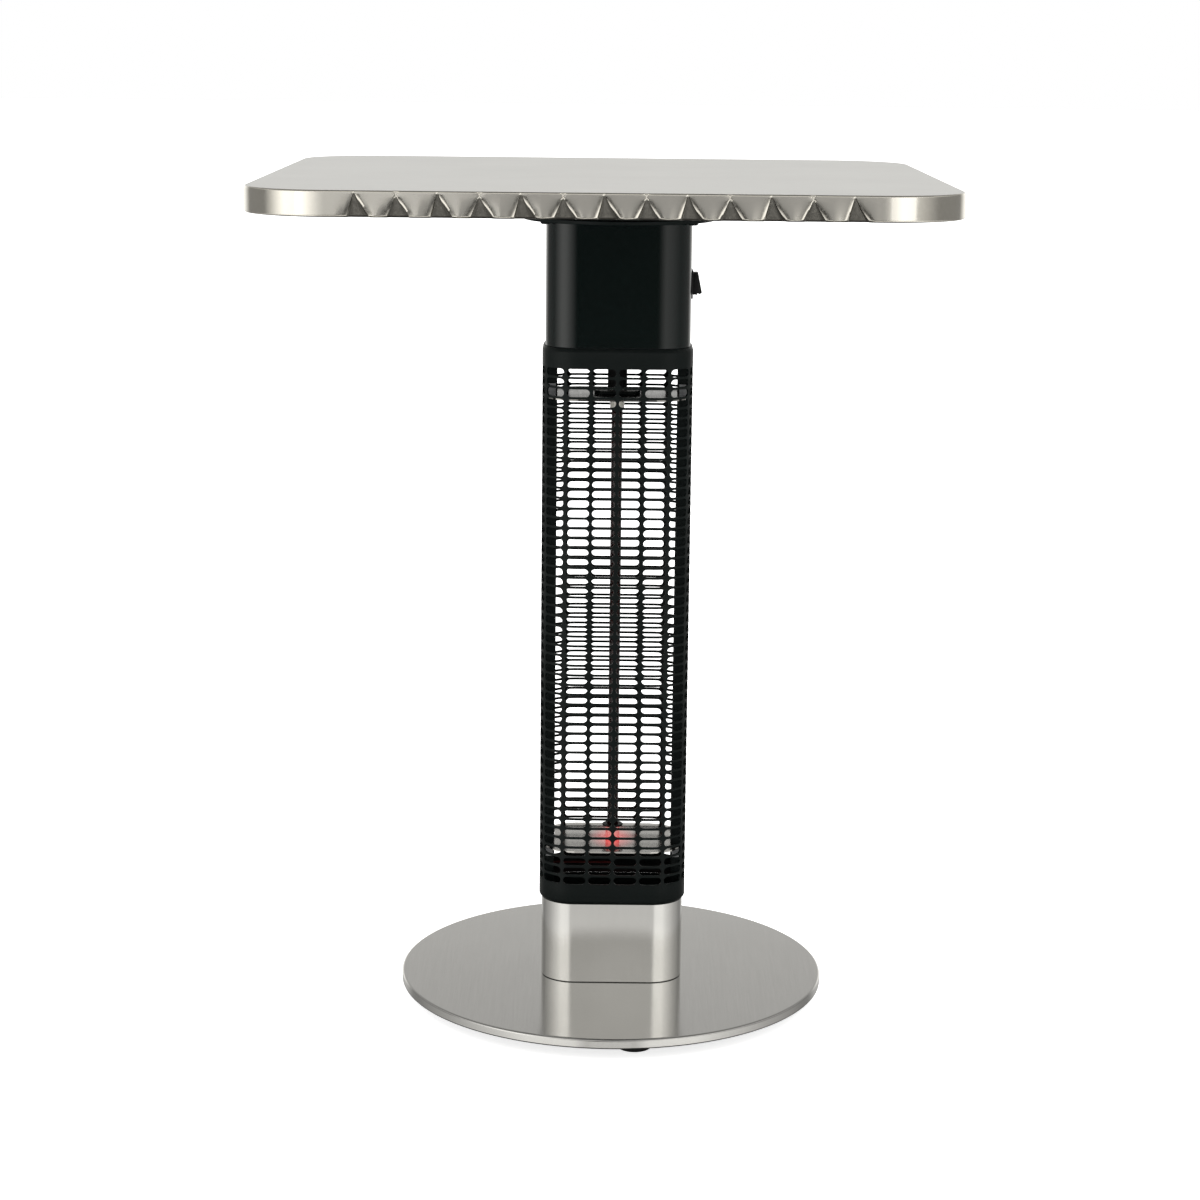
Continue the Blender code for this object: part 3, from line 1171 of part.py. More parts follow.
def make_wires(model):
    """Lamp leads up through the posts and the supply's stretch from the gland to the terminal block."""
    block_top = BULKHEAD_TOP + SEAT_GAP + BLOCK_HEIGHT - BLOCK_BARRIER_HEIGHT + SEAT_GAP + WIRE_RADIUS
    upper_pin = (UPPER_REFLECTOR_FACE + REFLECTOR_SHEET + 2 * SEAT_GAP + HOLDER_THICKNESS
                 + CAP_FLANGE_THICKNESS + CAP_TAIL + CAP_PIN_LENGTH)
    lower_pin = (LOWER_REFLECTOR_FACE - REFLECTOR_SHEET - 2 * SEAT_GAP - HOLDER_THICKNESS
                 - CAP_FLANGE_THICKNESS - CAP_TAIL - CAP_PIN_LENGTH)
    ways = [BLOCK_X + (k - 1) * (BLOCK_LENGTH - BLOCK_BARRIER_WIDTH) / BLOCK_WAYS for k in range(BLOCK_WAYS)]
    clear = WIRE_RADIUS + WIRE_CLEARANCE
    post = wire_post_x()
    block_end = BLOCK_WIDTH / 2 + clear
    upper = [(0, 0, upper_pin + SEAT_GAP), (0, 0, BULKHEAD_TOP + clear), (0, -block_end, block_top),
             (ways[2], -block_end, block_top), (ways[2], 0, block_top)]
    wire_object(model, "lamp_lead_upper", upper, WIRE_RADIUS, "silicone")
    drop = lower_pin - SEAT_GAP
    over = block_top + BLOCK_BARRIER_HEIGHT
    lower = [(0, 0, drop), (0, 0, drop - 2 * clear), (-post, 0, drop - 2 * clear),
             (-post, 0, over), (ways[0], 0, over), (ways[0], 0, block_top)]
    wire_object(model, "lamp_lead_lower", lower, WIRE_RADIUS, "silicone")
    tab_end = HOUSING_SIDE + SEAT_GAP + BEZEL_THICKNESS / 2 - SWITCH_BODY_DEPTH - SWITCH_TAB_LENGTH - clear
    lead = [(tab_end, 0, SWITCH_MIDDLE), (tab_end - 2 * clear, 0, SWITCH_MIDDLE),
            (tab_end - 2 * clear, block_end, SWITCH_MIDDLE), (tab_end - 2 * clear, block_end, block_top),
            (ways[1], block_end, block_top), (ways[1], 0, block_top)]
    wire_object(model, "switch_lead", lead, WIRE_RADIUS, "silicone")


def build():
    """Make every piece."""
    clear_scene()
    model = Model()
    make_table_top(model)
    make_mounting(model)
    make_guard(model)
    make_upper_housing(model)
    make_bulkhead(model)
    make_side_posts(model)
    make_stub_column(model)
    make_foot_plate(model)
    make_reflectors(model)
    make_lamp(model)
    make_switch_body(model)
    make_rocker(model)
    make_terminal_block(model)
    make_thermal_cutout(model)
    make_tip_switch(model)
    make_base(model)
    make_feet(model)
    make_gland(model)
    make_wires(model)


build()
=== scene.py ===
"""Looks of the table heater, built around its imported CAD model.

Metres, +Z up, the origin on the floor under the middle of the table top, the front facing -Y.
"""
import math

import bmesh
import bpy
from mathutils import Matrix, Vector


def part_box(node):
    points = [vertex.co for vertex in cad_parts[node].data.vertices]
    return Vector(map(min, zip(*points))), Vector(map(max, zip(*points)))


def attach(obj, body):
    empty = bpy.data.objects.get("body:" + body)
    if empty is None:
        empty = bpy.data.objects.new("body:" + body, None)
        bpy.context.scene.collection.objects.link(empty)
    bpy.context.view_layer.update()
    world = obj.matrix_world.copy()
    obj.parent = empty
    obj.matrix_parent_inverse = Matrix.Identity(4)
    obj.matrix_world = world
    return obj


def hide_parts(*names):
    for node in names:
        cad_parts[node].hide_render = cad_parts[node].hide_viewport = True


bl_info = {
    "name": "Table heater",
    "version": (1, 0, 0),
    "blender": (4, 5, 0),
    "location": "View3D > Sidebar > Heater",
    "description": "Finishes the table heater's CAD pieces and adds its fine ones",
    "category": "Add Mesh",
}

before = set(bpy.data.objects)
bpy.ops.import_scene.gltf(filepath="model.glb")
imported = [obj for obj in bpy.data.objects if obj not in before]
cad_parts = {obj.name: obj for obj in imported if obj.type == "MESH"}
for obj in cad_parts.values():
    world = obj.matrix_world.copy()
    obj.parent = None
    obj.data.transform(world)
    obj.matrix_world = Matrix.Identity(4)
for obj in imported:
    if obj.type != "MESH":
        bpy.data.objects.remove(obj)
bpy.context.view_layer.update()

MM = 0.001
WELD = 0.00001
QUARTER = math.pi / 2
SHARP_ANGLE = math.radians(32)
SUPPORT = 0.0002                  # from a rounding to the row of points that keeps the next face flat
SEAT_GAP = 0.0003                 # between pieces that rest on or in each other
TUBE_LOW, TUBE_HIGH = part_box("lamp_tube")
COLUMN_X = (TUBE_LOW.x + TUBE_HIGH.x) / 2
GUARD_LOW, GUARD_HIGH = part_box("lamp_guard")
TOP_LOW, TOP_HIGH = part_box("table_top_skin")


# Sizes and colours that a user would change

class TableTopSettings(bpy.types.PropertyGroup):
    """The pressed stainless top."""
    corner_radius: bpy.props.FloatProperty(
        name="Corner radius", description="Radius of the top's four corners", default=0.073, unit="LENGTH")
    edge_round: bpy.props.FloatProperty(
        name="Edge round", description="Rounding between the upper surface and the band", default=0.0016,
        unit="LENGTH")
    lip_width: bpy.props.FloatProperty(
        name="Lip", description="How far the sheet folds in under the top", default=0.012, unit="LENGTH")
    sheet: bpy.props.FloatProperty(
        name="Sheet", description="Thickness of the stainless sheet", default=0.0012, unit="LENGTH")
    dents: bpy.props.IntProperty(
        name="Dents", description="Pressed dents on each side", default=13, min=1)
    dent_pitch: bpy.props.FloatProperty(
        name="Dent pitch", description="Distance between neighbouring dents", default=0.0337, unit="LENGTH")
    dent_depth: bpy.props.FloatProperty(
        name="Dent depth", description="How deep a dent is at the band's foot", default=0.0044, unit="LENGTH")
    colour: bpy.props.StringProperty(
        name="Upper surface", description="Colour of the ground upper surface, sRGB hex", default="E6E6E3")
    band_colour: bpy.props.StringProperty(
        name="Band", description="Colour of the bright pressed band, sRGB hex", default="DCD8CE")


class GuardSettings(bpy.types.PropertyGroup):
    """The slotted guard round the lamp."""
    corner_radius: bpy.props.FloatProperty(
        name="Corner radius", description="Outer radius of the guard's corners", default=0.0334, unit="LENGTH")
    wall: bpy.props.FloatProperty(
        name="Wall", description="Thickness of the guard's wall", default=0.0016, unit="LENGTH")
    rows: bpy.props.IntProperty(name="Rows", description="Rows of slots", default=53, min=1)
    columns: bpy.props.IntProperty(name="Columns", description="Slots in a row, all round", default=18, min=4)
    foot_band: bpy.props.FloatProperty(
        name="Foot band", description="From the guard's foot to the middle of its lowest rib", default=0.01853,
        unit="LENGTH")
    collar_band: bpy.props.FloatProperty(
        name="Collar band", description="From the middle of the highest rib to the guard's upper edge",
        default=0.01718, unit="LENGTH")
    rib: bpy.props.FloatProperty(
        name="Rib", description="Height of a rib between two slots", default=0.0020, unit="LENGTH")
    upright: bpy.props.FloatProperty(
        name="Upright", description="Width of an upright between two slots", default=0.0024, unit="LENGTH")


class ColumnSettings(bpy.types.PropertyGroup):
    """The housing above the guard, its switch, and the stub under the guard."""
    housing_radius: bpy.props.FloatProperty(
        name="Housing corner", description="Outer radius of the housing's corners", default=0.0307,
        unit="LENGTH")
    stub_radius: bpy.props.FloatProperty(
        name="Stub corner", description="Outer radius of the stub's corners", default=0.03115, unit="LENGTH")
    wall: bpy.props.FloatProperty(
        name="Wall", description="Wall of both tubes", default=0.0015, unit="LENGTH")
    edge_round: bpy.props.FloatProperty(
        name="Edge round", description="Broken edge of both tubes", default=0.0004, unit="LENGTH")
    black: bpy.props.StringProperty(
        name="Black coat", description="Powder coat of the housing and the guard, sRGB hex", default="020A09")
    steel: bpy.props.StringProperty(
        name="Steel", description="Ground stainless of the stub and the base, sRGB hex", default="CBCAC7")


class LampSettings(bpy.types.PropertyGroup):
    """The upright infrared lamp."""
    turns: bpy.props.IntProperty(
        name="Turns", description="Turns of the carbon filament's coil", default=78, min=1)
    # Shine, reach and depth set painted light: the red glow that the plate and the caps under the lamp emit.
    shine: bpy.props.FloatProperty(
        name="Shine", description="Strength of the red light on the plate under the lamp", default=0.5, min=0.0)
    glow_reach: bpy.props.FloatProperty(
        name="Reach", description="How far the red light spreads to each side", default=0.026, unit="LENGTH")
    glow_depth: bpy.props.FloatProperty(
        name="Depth", description="How much farther it spreads to the back and front", default=1.8, min=1.0)
    glow_colour: bpy.props.StringProperty(
        name="Glow colour", description="Colour of the lamp's light, sRGB hex", default="FF2430")


class StageSettings(bpy.types.PropertyGroup):
    """Floor, light and camera."""
    floor_size: bpy.props.FloatProperty(
        name="Floor", description="Side of the floor", default=60.0, unit="LENGTH")
    floor_colour: bpy.props.StringProperty(
        name="Floor colour", description="Colour of the floor, sRGB hex", default="F4F4F3")
    lens: bpy.props.FloatProperty(
        name="Lens", description="Focal length of the camera, in mm on a 36 mm sensor", default=82.265)
    eye: bpy.props.FloatVectorProperty(
        name="Camera", description="Place of the camera", default=(0.0027, -2.5291, 0.9121), unit="LENGTH")
    pitch: bpy.props.FloatProperty(
        name="Pitch", description="How far the camera looks down", default=0.2065, unit="ROTATION")
    roll: bpy.props.FloatProperty(
        name="Roll", description="How far the camera is turned about its view", default=0.0104, unit="ROTATION")


class HeaterSettings(bpy.types.PropertyGroup):
    """Everything that can be set."""
    top: bpy.props.PointerProperty(type=TableTopSettings, name="Top", description="The table top")
    guard: bpy.props.PointerProperty(type=GuardSettings, name="Guard", description="The lamp's guard")
    column: bpy.props.PointerProperty(type=ColumnSettings, name="Column", description="Housing, stub and base")
    lamp: bpy.props.PointerProperty(type=LampSettings, name="Lamp", description="The lamp")
    stage: bpy.props.PointerProperty(type=StageSettings, name="Stage", description="Floor, light and camera")


# Materials

CLOUD_MM = (90, 90, 90)           # soft patches in every finish
TONES = (0.7, 1.3)                # grain and patches together, from a finish's darkest tone to its lightest
GRAIN = (0.25, 0.75)              # the grain alone, from its smoothest to its roughest
SHEEN_STRAYS = 0.04               # how far the roughness goes to either side
PAINT_STARTS = (0.4, 0.6)         # the upward part of a normal, from bare metal to paint


def linear(code):
    """An sRGB hex colour as Blender's linear red, green, blue and alpha."""
    parts = [int(code[k:k + 2], 16) / 255 for k in (0, 2, 4)]
    return [p / 12.92 if p <= 0.04045 else ((p + 0.055) / 1.055) ** 2.4 for p in parts] + [1.0]


def shaded(code, share):
    """A hex colour made darker or lighter by a share."""
    parts = [min(255, max(0, round(int(code[k:k + 2], 16) * share))) for k in (0, 2, 4)]
    return "%02X%02X%02X" % tuple(parts)


def add_node(tree, kind, inputs=None, **options):
    """Add a node with its options; inputs gives each socket a value or another node's output."""
    node = tree.nodes.new(kind)
    for name, value in options.items():
        setattr(node, name, value)
    for socket, value in (inputs or {}).items():
        if isinstance(value, bpy.types.NodeSocket):
            tree.links.new(value, node.inputs[socket])
        else:
            node.inputs[socket].default_value = value
    return node


def mix_finish(name, colour, vary, roughness, grain_mm, bump_mm, sockets):
    """A material whose colour, sheen and relief follow a grain, given in mm along X, Y and Z."""
    material = bpy.data.materials.new(name)
    material.use_nodes = True
    tree = material.node_tree
    shader = tree.nodes["Principled BSDF"]
    place = add_node(tree, "ShaderNodeTexCoord")
    noises = []
    for size, detail in ((grain_mm, 4.0), (CLOUD_MM, 2.0)):
        sized = add_node(tree, "ShaderNodeMapping", {
            "Vector": place.outputs["Object"], "Scale": [1 / (MM * s) for s in size]})
        noises.append(add_node(tree, "ShaderNodeTexNoise", {
            "Vector": sized.outputs["Vector"], "Scale": 1.0, "Detail": detail, "Roughness": 0.6}))
    lines, cloud = noises
    both = add_node(tree, "ShaderNodeMath", {
        0: lines.outputs["Fac"], 1: cloud.outputs["Fac"]}, operation="ADD")
    share = add_node(tree, "ShaderNodeMapRange", {
        "Value": both.outputs["Value"], "From Min": TONES[0], "From Max": TONES[1]})
    tone = add_node(tree, "ShaderNodeMix", {
        "Factor": share.outputs["Result"], "A": linear(shaded(colour, 1 - vary)),
        "B": linear(shaded(colour, 1 + vary))}, data_type="RGBA")
    rough = add_node(tree, "ShaderNodeMapRange", {
        "Value": lines.outputs["Fac"], "From Min": GRAIN[0], "From Max": GRAIN[1],
        "To Min": roughness - SHEEN_STRAYS, "To Max": roughness + SHEEN_STRAYS})
    bump = add_node(tree, "ShaderNodeBump", {
        "Height": lines.outputs["Fac"], "Distance": bump_mm * MM})
    for socket, output in (("Base Color", tone.outputs["Result"]), ("Roughness", rough.outputs["Result"]),
                           ("Normal", bump.outputs["Normal"])):
        tree.links.new(output, shader.inputs[socket])
    for socket, value in sockets.items():
        shader.inputs[socket].default_value = value


def paint_lamp_glow(name, lamp):
    """Paint the lamp's red light onto a finish: an emitted glow, painted light, in a soft streak round the
    lamp's foot.
    """
    tree = bpy.data.materials[name].node_tree
    shader = tree.nodes["Principled BSDF"]
    place = add_node(tree, "ShaderNodeTexCoord")
    from_foot = add_node(tree, "ShaderNodeMapping", {
        "Vector": place.outputs["Object"], "Location": (-COLUMN_X, 0, -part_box("lower_reflector")[1].z),
        "Scale": (1, 1 / lamp.glow_depth, 1)})
    away = add_node(tree, "ShaderNodeVectorMath", {0: from_foot.outputs["Vector"]}, operation="LENGTH")
    fade = add_node(tree, "ShaderNodeMapRange", {
        "Value": away.outputs["Value"], "From Min": 0.0, "From Max": lamp.glow_reach,
        "To Min": lamp.shine, "To Max": 0.0}, interpolation_type="SMOOTHSTEP")
    tree.links.new(fade.outputs["Result"], shader.inputs["Emission Strength"])
    shader.inputs["Emission Color"].default_value = linear(lamp.glow_colour)


def paint_upper_face(name, colour):
    """Turn a polished finish into paint wherever the surface faces up."""
    tree = bpy.data.materials[name].node_tree
    shader = tree.nodes["Principled BSDF"]
    bare = shader.inputs["Base Color"].links[0].from_socket
    place = add_node(tree, "ShaderNodeTexCoord")
    axes = add_node(tree, "ShaderNodeSeparateXYZ", {"Vector": place.outputs["Normal"]})
    side = add_node(tree, "ShaderNodeMapRange", {
        "Value": axes.outputs["Z"], "From Min": PAINT_STARTS[0], "From Max": PAINT_STARTS[1]})
    metal = add_node(tree, "ShaderNodeMath", {0: 1.0, 1: side.outputs["Result"]}, operation="SUBTRACT")
    both = add_node(tree, "ShaderNodeMix", {
        "Factor": side.outputs["Result"], "A": bare, "B": linear(colour)}, data_type="RGBA")
    tree.links.new(both.outputs["Result"], shader.inputs["Base Color"])
    tree.links.new(metal.outputs["Value"], shader.inputs["Metallic"])


def mix_finishes(heater):
    """Every material of the heater: colour and how much it varies, roughness, grain and relief in mm."""
    top, column = heater.top, heater.column
    metal, glow = {"Metallic": 1.0}, linear(heater.lamp.glow_colour)
    finishes = (
        # Stainless sheet ground matt with a fine belt: an even, soft, light grey
        ("ground_stainless_top", top.colour, 0.012, 0.36, (1.2, 14, 1.2), 0.004, metal),
        # Stainless sheet pressed over a die: bright and smooth, a little warm
        ("pressed_stainless_band", top.band_colour, 0.02, 0.13, (3, 3, 3), 0.004, metal),
        # Stainless tube ground along its length: its reflections are drawn out lengthwise
        ("brushed_stainless_tube", column.steel, 0.03, 0.17, (0.5, 0.5, 40), 0.003, metal),
        # Stainless disc, ground and then buffed: it mirrors the stub, a little softened
        ("buffed_stainless_disc", column.steel, 0.012, 0.12, (0.9, 60, 0.9), 0.0006, metal),
        # Polished plate that throws the lamp's heat back, dulled by the heat
        ("polished_reflector_plate", "B4B2AE", 0.03, 0.16, (2, 25, 2), 0.002, metal),
        # The same plate, painted black on the side away from the lamp
        ("backed_reflector_plate", "B4B2AE", 0.03, 0.16, (2, 25, 2), 0.002, {"Specular IOR Level": 0.05}),
        # Zinc plated steel: pale, slightly mottled grey
        ("zinc_plated_steel", "A9ABAD", 0.08, 0.38, (1.5, 1.5, 1.5), 0.006, metal),
        # Rolled steel left plain: dark and dull
        ("rolled_plain_steel", "6E6C6A", 0.12, 0.52, (3, 20, 3), 0.008, metal),
        # Satin powder coat: near black with soft highlights and the oven's faint orange peel
        ("satin_black_coat", column.black, 0.10, 0.17, (1.6, 1.6, 1.6), 0.003, {}),
        # Matt powder coat for heat: the same black with hardly a highlight
        ("matt_black_coat", column.black, 0.10, 0.48, (1.1, 1.1, 1.1), 0.02, {"Specular IOR Level": 0.22}),
        # Moulded ABS with a fine spark-eroded grain
        ("moulded_black_plastic", "060707", 0.10, 0.42, (0.5, 0.5, 0.5), 0.02, {"Specular IOR Level": 0.3}),
        # Moulded rubber: dull, hardly a highlight
        ("moulded_rubber", "0C0C0C", 0.10, 0.78, (0.8, 0.8, 0.8), 0.03, {"Specular IOR Level": 0.3}),
        # Medium-density fibreboard: fine brown fibres
        ("pressed_fibreboard", "8A6E4E", 0.15, 0.85, (1.5, 1.5, 0.6), 0.05, {}),
        # Backing laminate under the top: plain grey with a fine texture
        ("grey_laminate_sheet", "7A7A78", 0.05, 0.55, (6, 6, 6), 0.02, {}),
        # Fired ceramic: off-white and dry
        ("fired_white_ceramic", "C9C6BD", 0.04, 0.50, (0.7, 0.7, 0.7), 0.02, {}),
        # Silicone sleeving over the leads: dark red and soft
        ("red_silicone_sleeve", "3A0E0C", 0.08, 0.60, (0.8, 0.8, 4), 0.02, {"Specular IOR Level": 0.2}),
        # Ruby quartz glass of an infrared lamp: dark and smooth, with a faint red body
        ("ruby_quartz_glass", "1C0B0A", 0.15, 0.08, (2, 2, 30), 0.001, {"IOR": 1.46, "Alpha": 0.82}),
        # Carbon filament: a dull strand that glows a little
        ("carbon_filament", "241010", 0.30, 0.70, (1, 1, 1.5), 0.01,
         {"Emission Color": glow, "Emission Strength": 0.25}),
        # Smooth pale studio floor, lit from within so that shadows on it stay faint
        ("pale_floor", heater.stage.floor_colour, 0.004, 0.90, (400, 400, 400), 0.001,
         {"Specular IOR Level": 0.0, "Emission Color": linear("FFFFFF"), "Emission Strength": 0.75}),
    )
    for finish in finishes:
        mix_finish(*finish)
    paint_upper_face("backed_reflector_plate", column.black)
    # The lamp's red light on the plate and on the ceramic caps is painted light, an emitted glow.
    for name in ("polished_reflector_plate", "fired_white_ceramic"):
        paint_lamp_glow(name, heater.lamp)


# Shapes

def keep(shape, name, finish, body="table", replaces=(), extra=()):
    """Turn a finished shape into a named piece on a CAD body."""
    bmesh.ops.remove_doubles(shape, verts=shape.verts, dist=WELD)
    for face in shape.faces:
        face.smooth = True
    for edge in shape.edges:
        if len(edge.link_faces) == 2 and edge.calc_face_angle(0.0) > SHARP_ANGLE:
            edge.smooth = False
    mesh = bpy.data.meshes.new(name)
    shape.to_mesh(mesh)
    shape.free()
    for material in (finish, *extra):
        mesh.materials.append(bpy.data.materials[material])
    piece = bpy.data.objects.new(name, mesh)
    bpy.context.scene.collection.objects.link(piece)
    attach(piece, body)
    if replaces:
        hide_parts(*replaces)
    return piece


def outwards(shape):
    """Turn every face of a closed shape outwards."""
    bmesh.ops.remove_doubles(shape, verts=shape.verts, dist=WELD)
    bmesh.ops.recalc_face_normals(shape, faces=shape.faces)
    if shape.calc_volume(signed=True) < 0:
        bmesh.ops.reverse_faces(shape, faces=shape.faces)


def new_verts(made):
    """The vertices among what an operator made."""
    return [g for g in made["geom"] if isinstance(g, bmesh.types.BMVert)]


def rounded_face(shape, low, high, radius, steps, height):
    """One flat face with round corners: a quad whose corners are bevelled."""
    made = bmesh.ops.create_grid(shape, x_segments=1, y_segments=1, size=0.5)["verts"]
    bmesh.ops.scale(shape, vec=(high[0] - low[0], high[1] - low[1], 1), verts=made)
    middle = ((low[0] + high[0]) / 2, (low[1] + high[1]) / 2, height)
    bmesh.ops.translate(shape, vec=middle, verts=made)
    bmesh.ops.bevel(shape, geom=made, offset=radius, offset_type="OFFSET", affect="VERTICES",
                    segments=steps, profile=0.5, material=-1)
    return max(shape.faces, key=lambda face: face.calc_area())


def raised(shape, faces, height):
    """Extrude faces straight up by a height; returns the faces at the new end."""
    made = bmesh.ops.extrude_face_region(shape, geom=faces)
    bmesh.ops.translate(shape, vec=(0, 0, height), verts=new_verts(made))
    return [g for g in made["geom"] if isinstance(g, bmesh.types.BMFace)]


def spun(shape, section, steps, centre=(COLUMN_X, 0)):
    """Turn a section, given as radius and height, all the way round an upright axis."""
    verts = [shape.verts.new((centre[0] + r, centre[1], z)) for r, z in section]
    edges = [shape.edges.new(pair) for pair in zip(verts, verts[1:])]
    if section[0][0] > 0 or section[-1][0] > 0:
        edges.append(shape.edges.new((verts[-1], verts[0])))
    bmesh.ops.spin(shape, geom=verts + edges, cent=(*centre, 0), axis=(0, 0, 1), angle=2 * math.pi,
                   steps=steps, use_merge=True)
    outwards(shape)


def rounded_section(points, rounds, steps=3):
    """A section whose corners are rounded: each corner has its own radius, 0 keeps it sharp.

    A point beside each rounding keeps the shading of the flat faces flat.
    """
    out = []
    count = len(points)
    for k, (point, radius) in enumerate(zip(points, rounds)):
        here = Vector(point)
        if radius <= 0:
            out.append(tuple(here))
            continue
        before = (Vector(points[k - 1]) - here).normalized()
        after = (Vector(points[(k + 1) % count]) - here).normalized()
        half = before.angle(after) / 2
        reach = radius / math.tan(half)
        centre = here + (before + after).normalized() * (radius / math.sin(half))
        start, end = here + before * reach, here + after * reach
        out.append(tuple(start + before * SUPPORT))
        for step in range(steps + 1):
            mixed = start.lerp(end, step / steps) - centre
            out.append(tuple(centre + mixed.normalized() * radius))
        out.append(tuple(end + after * SUPPORT))
    return out


def broken_edges(shape, edges, offset, segments=2):
    """Round edges a little."""
    bmesh.ops.bevel(shape, geom=list(edges), offset=offset, offset_type="OFFSET", affect="EDGES",
                    segments=segments, profile=0.5, material=-1)


def sharp_edges(shape):
    """The edges where two faces meet at a clear angle."""
    return [e for e in shape.edges if len(e.link_faces) == 2 and e.calc_face_angle(0.0) > SHARP_ANGLE]


def block(shape, size, middle):
    """Add a block of a size at a place; returns its vertices."""
    verts = bmesh.ops.create_cube(shape, size=1.0)["verts"]
    bmesh.ops.scale(shape, vec=size, verts=verts)
    bmesh.ops.translate(shape, vec=middle, verts=verts)
    return verts


def circle(shape, steps, radius, place):
    """Add a circle; returns its vertices and edges."""
    verts = bmesh.ops.create_circle(shape, segments=steps, radius=radius, matrix=place)["verts"]
    return verts, list({edge for vert in verts for edge in vert.link_edges})


def round_node(node):
    """A round upright node's lowest and highest level, its radius and the place of its axis."""
    low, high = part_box(node)
    return low.z, high.z, (high.x - low.x) / 2, ((low.x + high.x) / 2, (low.y + high.y) / 2)


def turned(node, name, finish, section, rounds_mm, steps, centre=(COLUMN_X, 0), corner_steps=3):
    """Replace a round node with a piece spun from a section, each of whose corners has a rounding in mm."""
    shape = bmesh.new()
    spun(shape, rounded_section(section, [r * MM for r in rounds_mm], corner_steps), steps, centre)
    keep(shape, name, finish, replaces=[node])


# Table top

DENT_COLUMNS = 20                 # columns of faces in one dent's pitch
BAND_LEVELS = 16
TOP_CORNER_STEPS = 26
TOP_MARGIN = 0.002                # a ring of faces that keeps the top's shading flat
BAND_REACH = 1.01                 # how far in the band's points lie, in shares of the edge's rounding
FACES_UP = 0.97                   # the least upward part of the normal of a face on the ground surface


def build_table_top(top):
    """The pressed stainless skin: a rounded square, its band crimped into a row of dents."""
    shape = bmesh.new()
    rounded_face(shape, TOP_LOW, TOP_HIGH, top.corner_radius, TOP_CORNER_STEPS, TOP_LOW.z)
    straight = TOP_HIGH.x - TOP_LOW.x - 2 * top.corner_radius
    cuts = round(straight / top.dent_pitch * DENT_COLUMNS) - 1
    long_edges = [edge for edge in shape.edges if edge.calc_length() > straight - MM]
    bmesh.ops.subdivide_edges(shape, edges=long_edges, cuts=cuts)
    height = TOP_HIGH.z - TOP_LOW.z
    raised(shape, list(shape.faces), height)
    outwards(shape)
    for level, radius, steps in ((TOP_HIGH.z, top.edge_round, 4), (TOP_LOW.z, top.edge_round / 2, 2)):
        rim = [edge for edge in shape.edges if all(abs(v.co.z - level) < WELD for v in edge.verts)]
        broken_edges(shape, rim, radius, steps)
    upright = [edge for edge in shape.edges if abs(edge.verts[0].co.z - edge.verts[1].co.z) > height / 2]
    bmesh.ops.subdivide_edges(shape, edges=upright, cuts=BAND_LEVELS - 1, use_grid_fill=True)
    flats = sorted(shape.faces, key=lambda face: -face.calc_area())[:2]
    lower, upper = sorted(flats, key=lambda face: face.calc_center_median().z)
    bmesh.ops.inset_region(shape, faces=[upper], thickness=TOP_MARGIN, use_even_offset=True)
    bmesh.ops.inset_region(shape, faces=[lower], thickness=top.lip_width, use_even_offset=True)
    bmesh.ops.delete(shape, geom=[lower], context="FACES")
    press_dents(shape, top)
    for face in shape.faces:
        level = face.calc_center_median().z
        face.material_index = 0 if face.normal.z > FACES_UP and level > TOP_HIGH.z - MM else 1
    piece = keep(shape, "pressed_top", "ground_stainless_top",
                 replaces=["table_top_skin"], extra=["pressed_stainless_band"])
    wall = piece.modifiers.new("sheet", "SOLIDIFY")
    wall.thickness = top.sheet
    wall.offset = -1.0


def press_dents(shape, top):
    """Move the band's points in where the press has pinched it."""
    half = (TOP_HIGH.x - TOP_LOW.x) / 2
    straight = half - top.corner_radius
    height = TOP_HIGH.z - TOP_LOW.z
    middle = (top.dents - 1) / 2
    for vert in shape.verts:
        for turn in range(4):
            along = Vector((math.cos(turn * QUARTER), math.sin(turn * QUARTER), 0))
            inward = Vector((-along.y, along.x, 0))
            place, depth_in = vert.co.dot(along), vert.co.dot(inward) + half
            if abs(place) > straight + WELD or depth_in > BAND_REACH * top.edge_round:
                continue
            number = round(place / top.dent_pitch + middle)
            if not 0 <= number < top.dents:
                continue
            centre = (number - middle) * top.dent_pitch
            share = (place - centre) / top.dent_pitch + 0.5
            level = (vert.co.z - TOP_LOW.z) / height
            shift, depth = dent_place(share, level, number % 2, top)
            vert.co += along * (centre + shift - place) + inward * depth
            break


# A dent across its pitch, in shares of the pitch: flat, left wall, floor, right wall, flat
DENT_KEYS = (0.0, 0.30, 0.40, 0.65, 0.75, 1.0)
# The two dents that take turns: apex as a share of the band's height, then at the foot how far the floor
# reaches left and right, how the right side curves, and how wide the two walls are
TALL_DENT = (0.985, 0.0042, 0.0112, 1.35, 0.0026, 0.0012)
NOTCHED_DENT = (0.80, 0.0053, 0.0102, 1.0, 0.0030, 0.0007)
WALL_START = 0.0003               # width of a dent's walls at its apex
DRAWN_IN = 0.0006                 # how far the sheet beside a dent's foot is drawn in with it
NOTCH_FOOT, NOTCH_PEAK = 0.83, 0.93
NOTCH_HALF_WIDTH, NOTCH_DEPTH = 0.0030, 0.0014


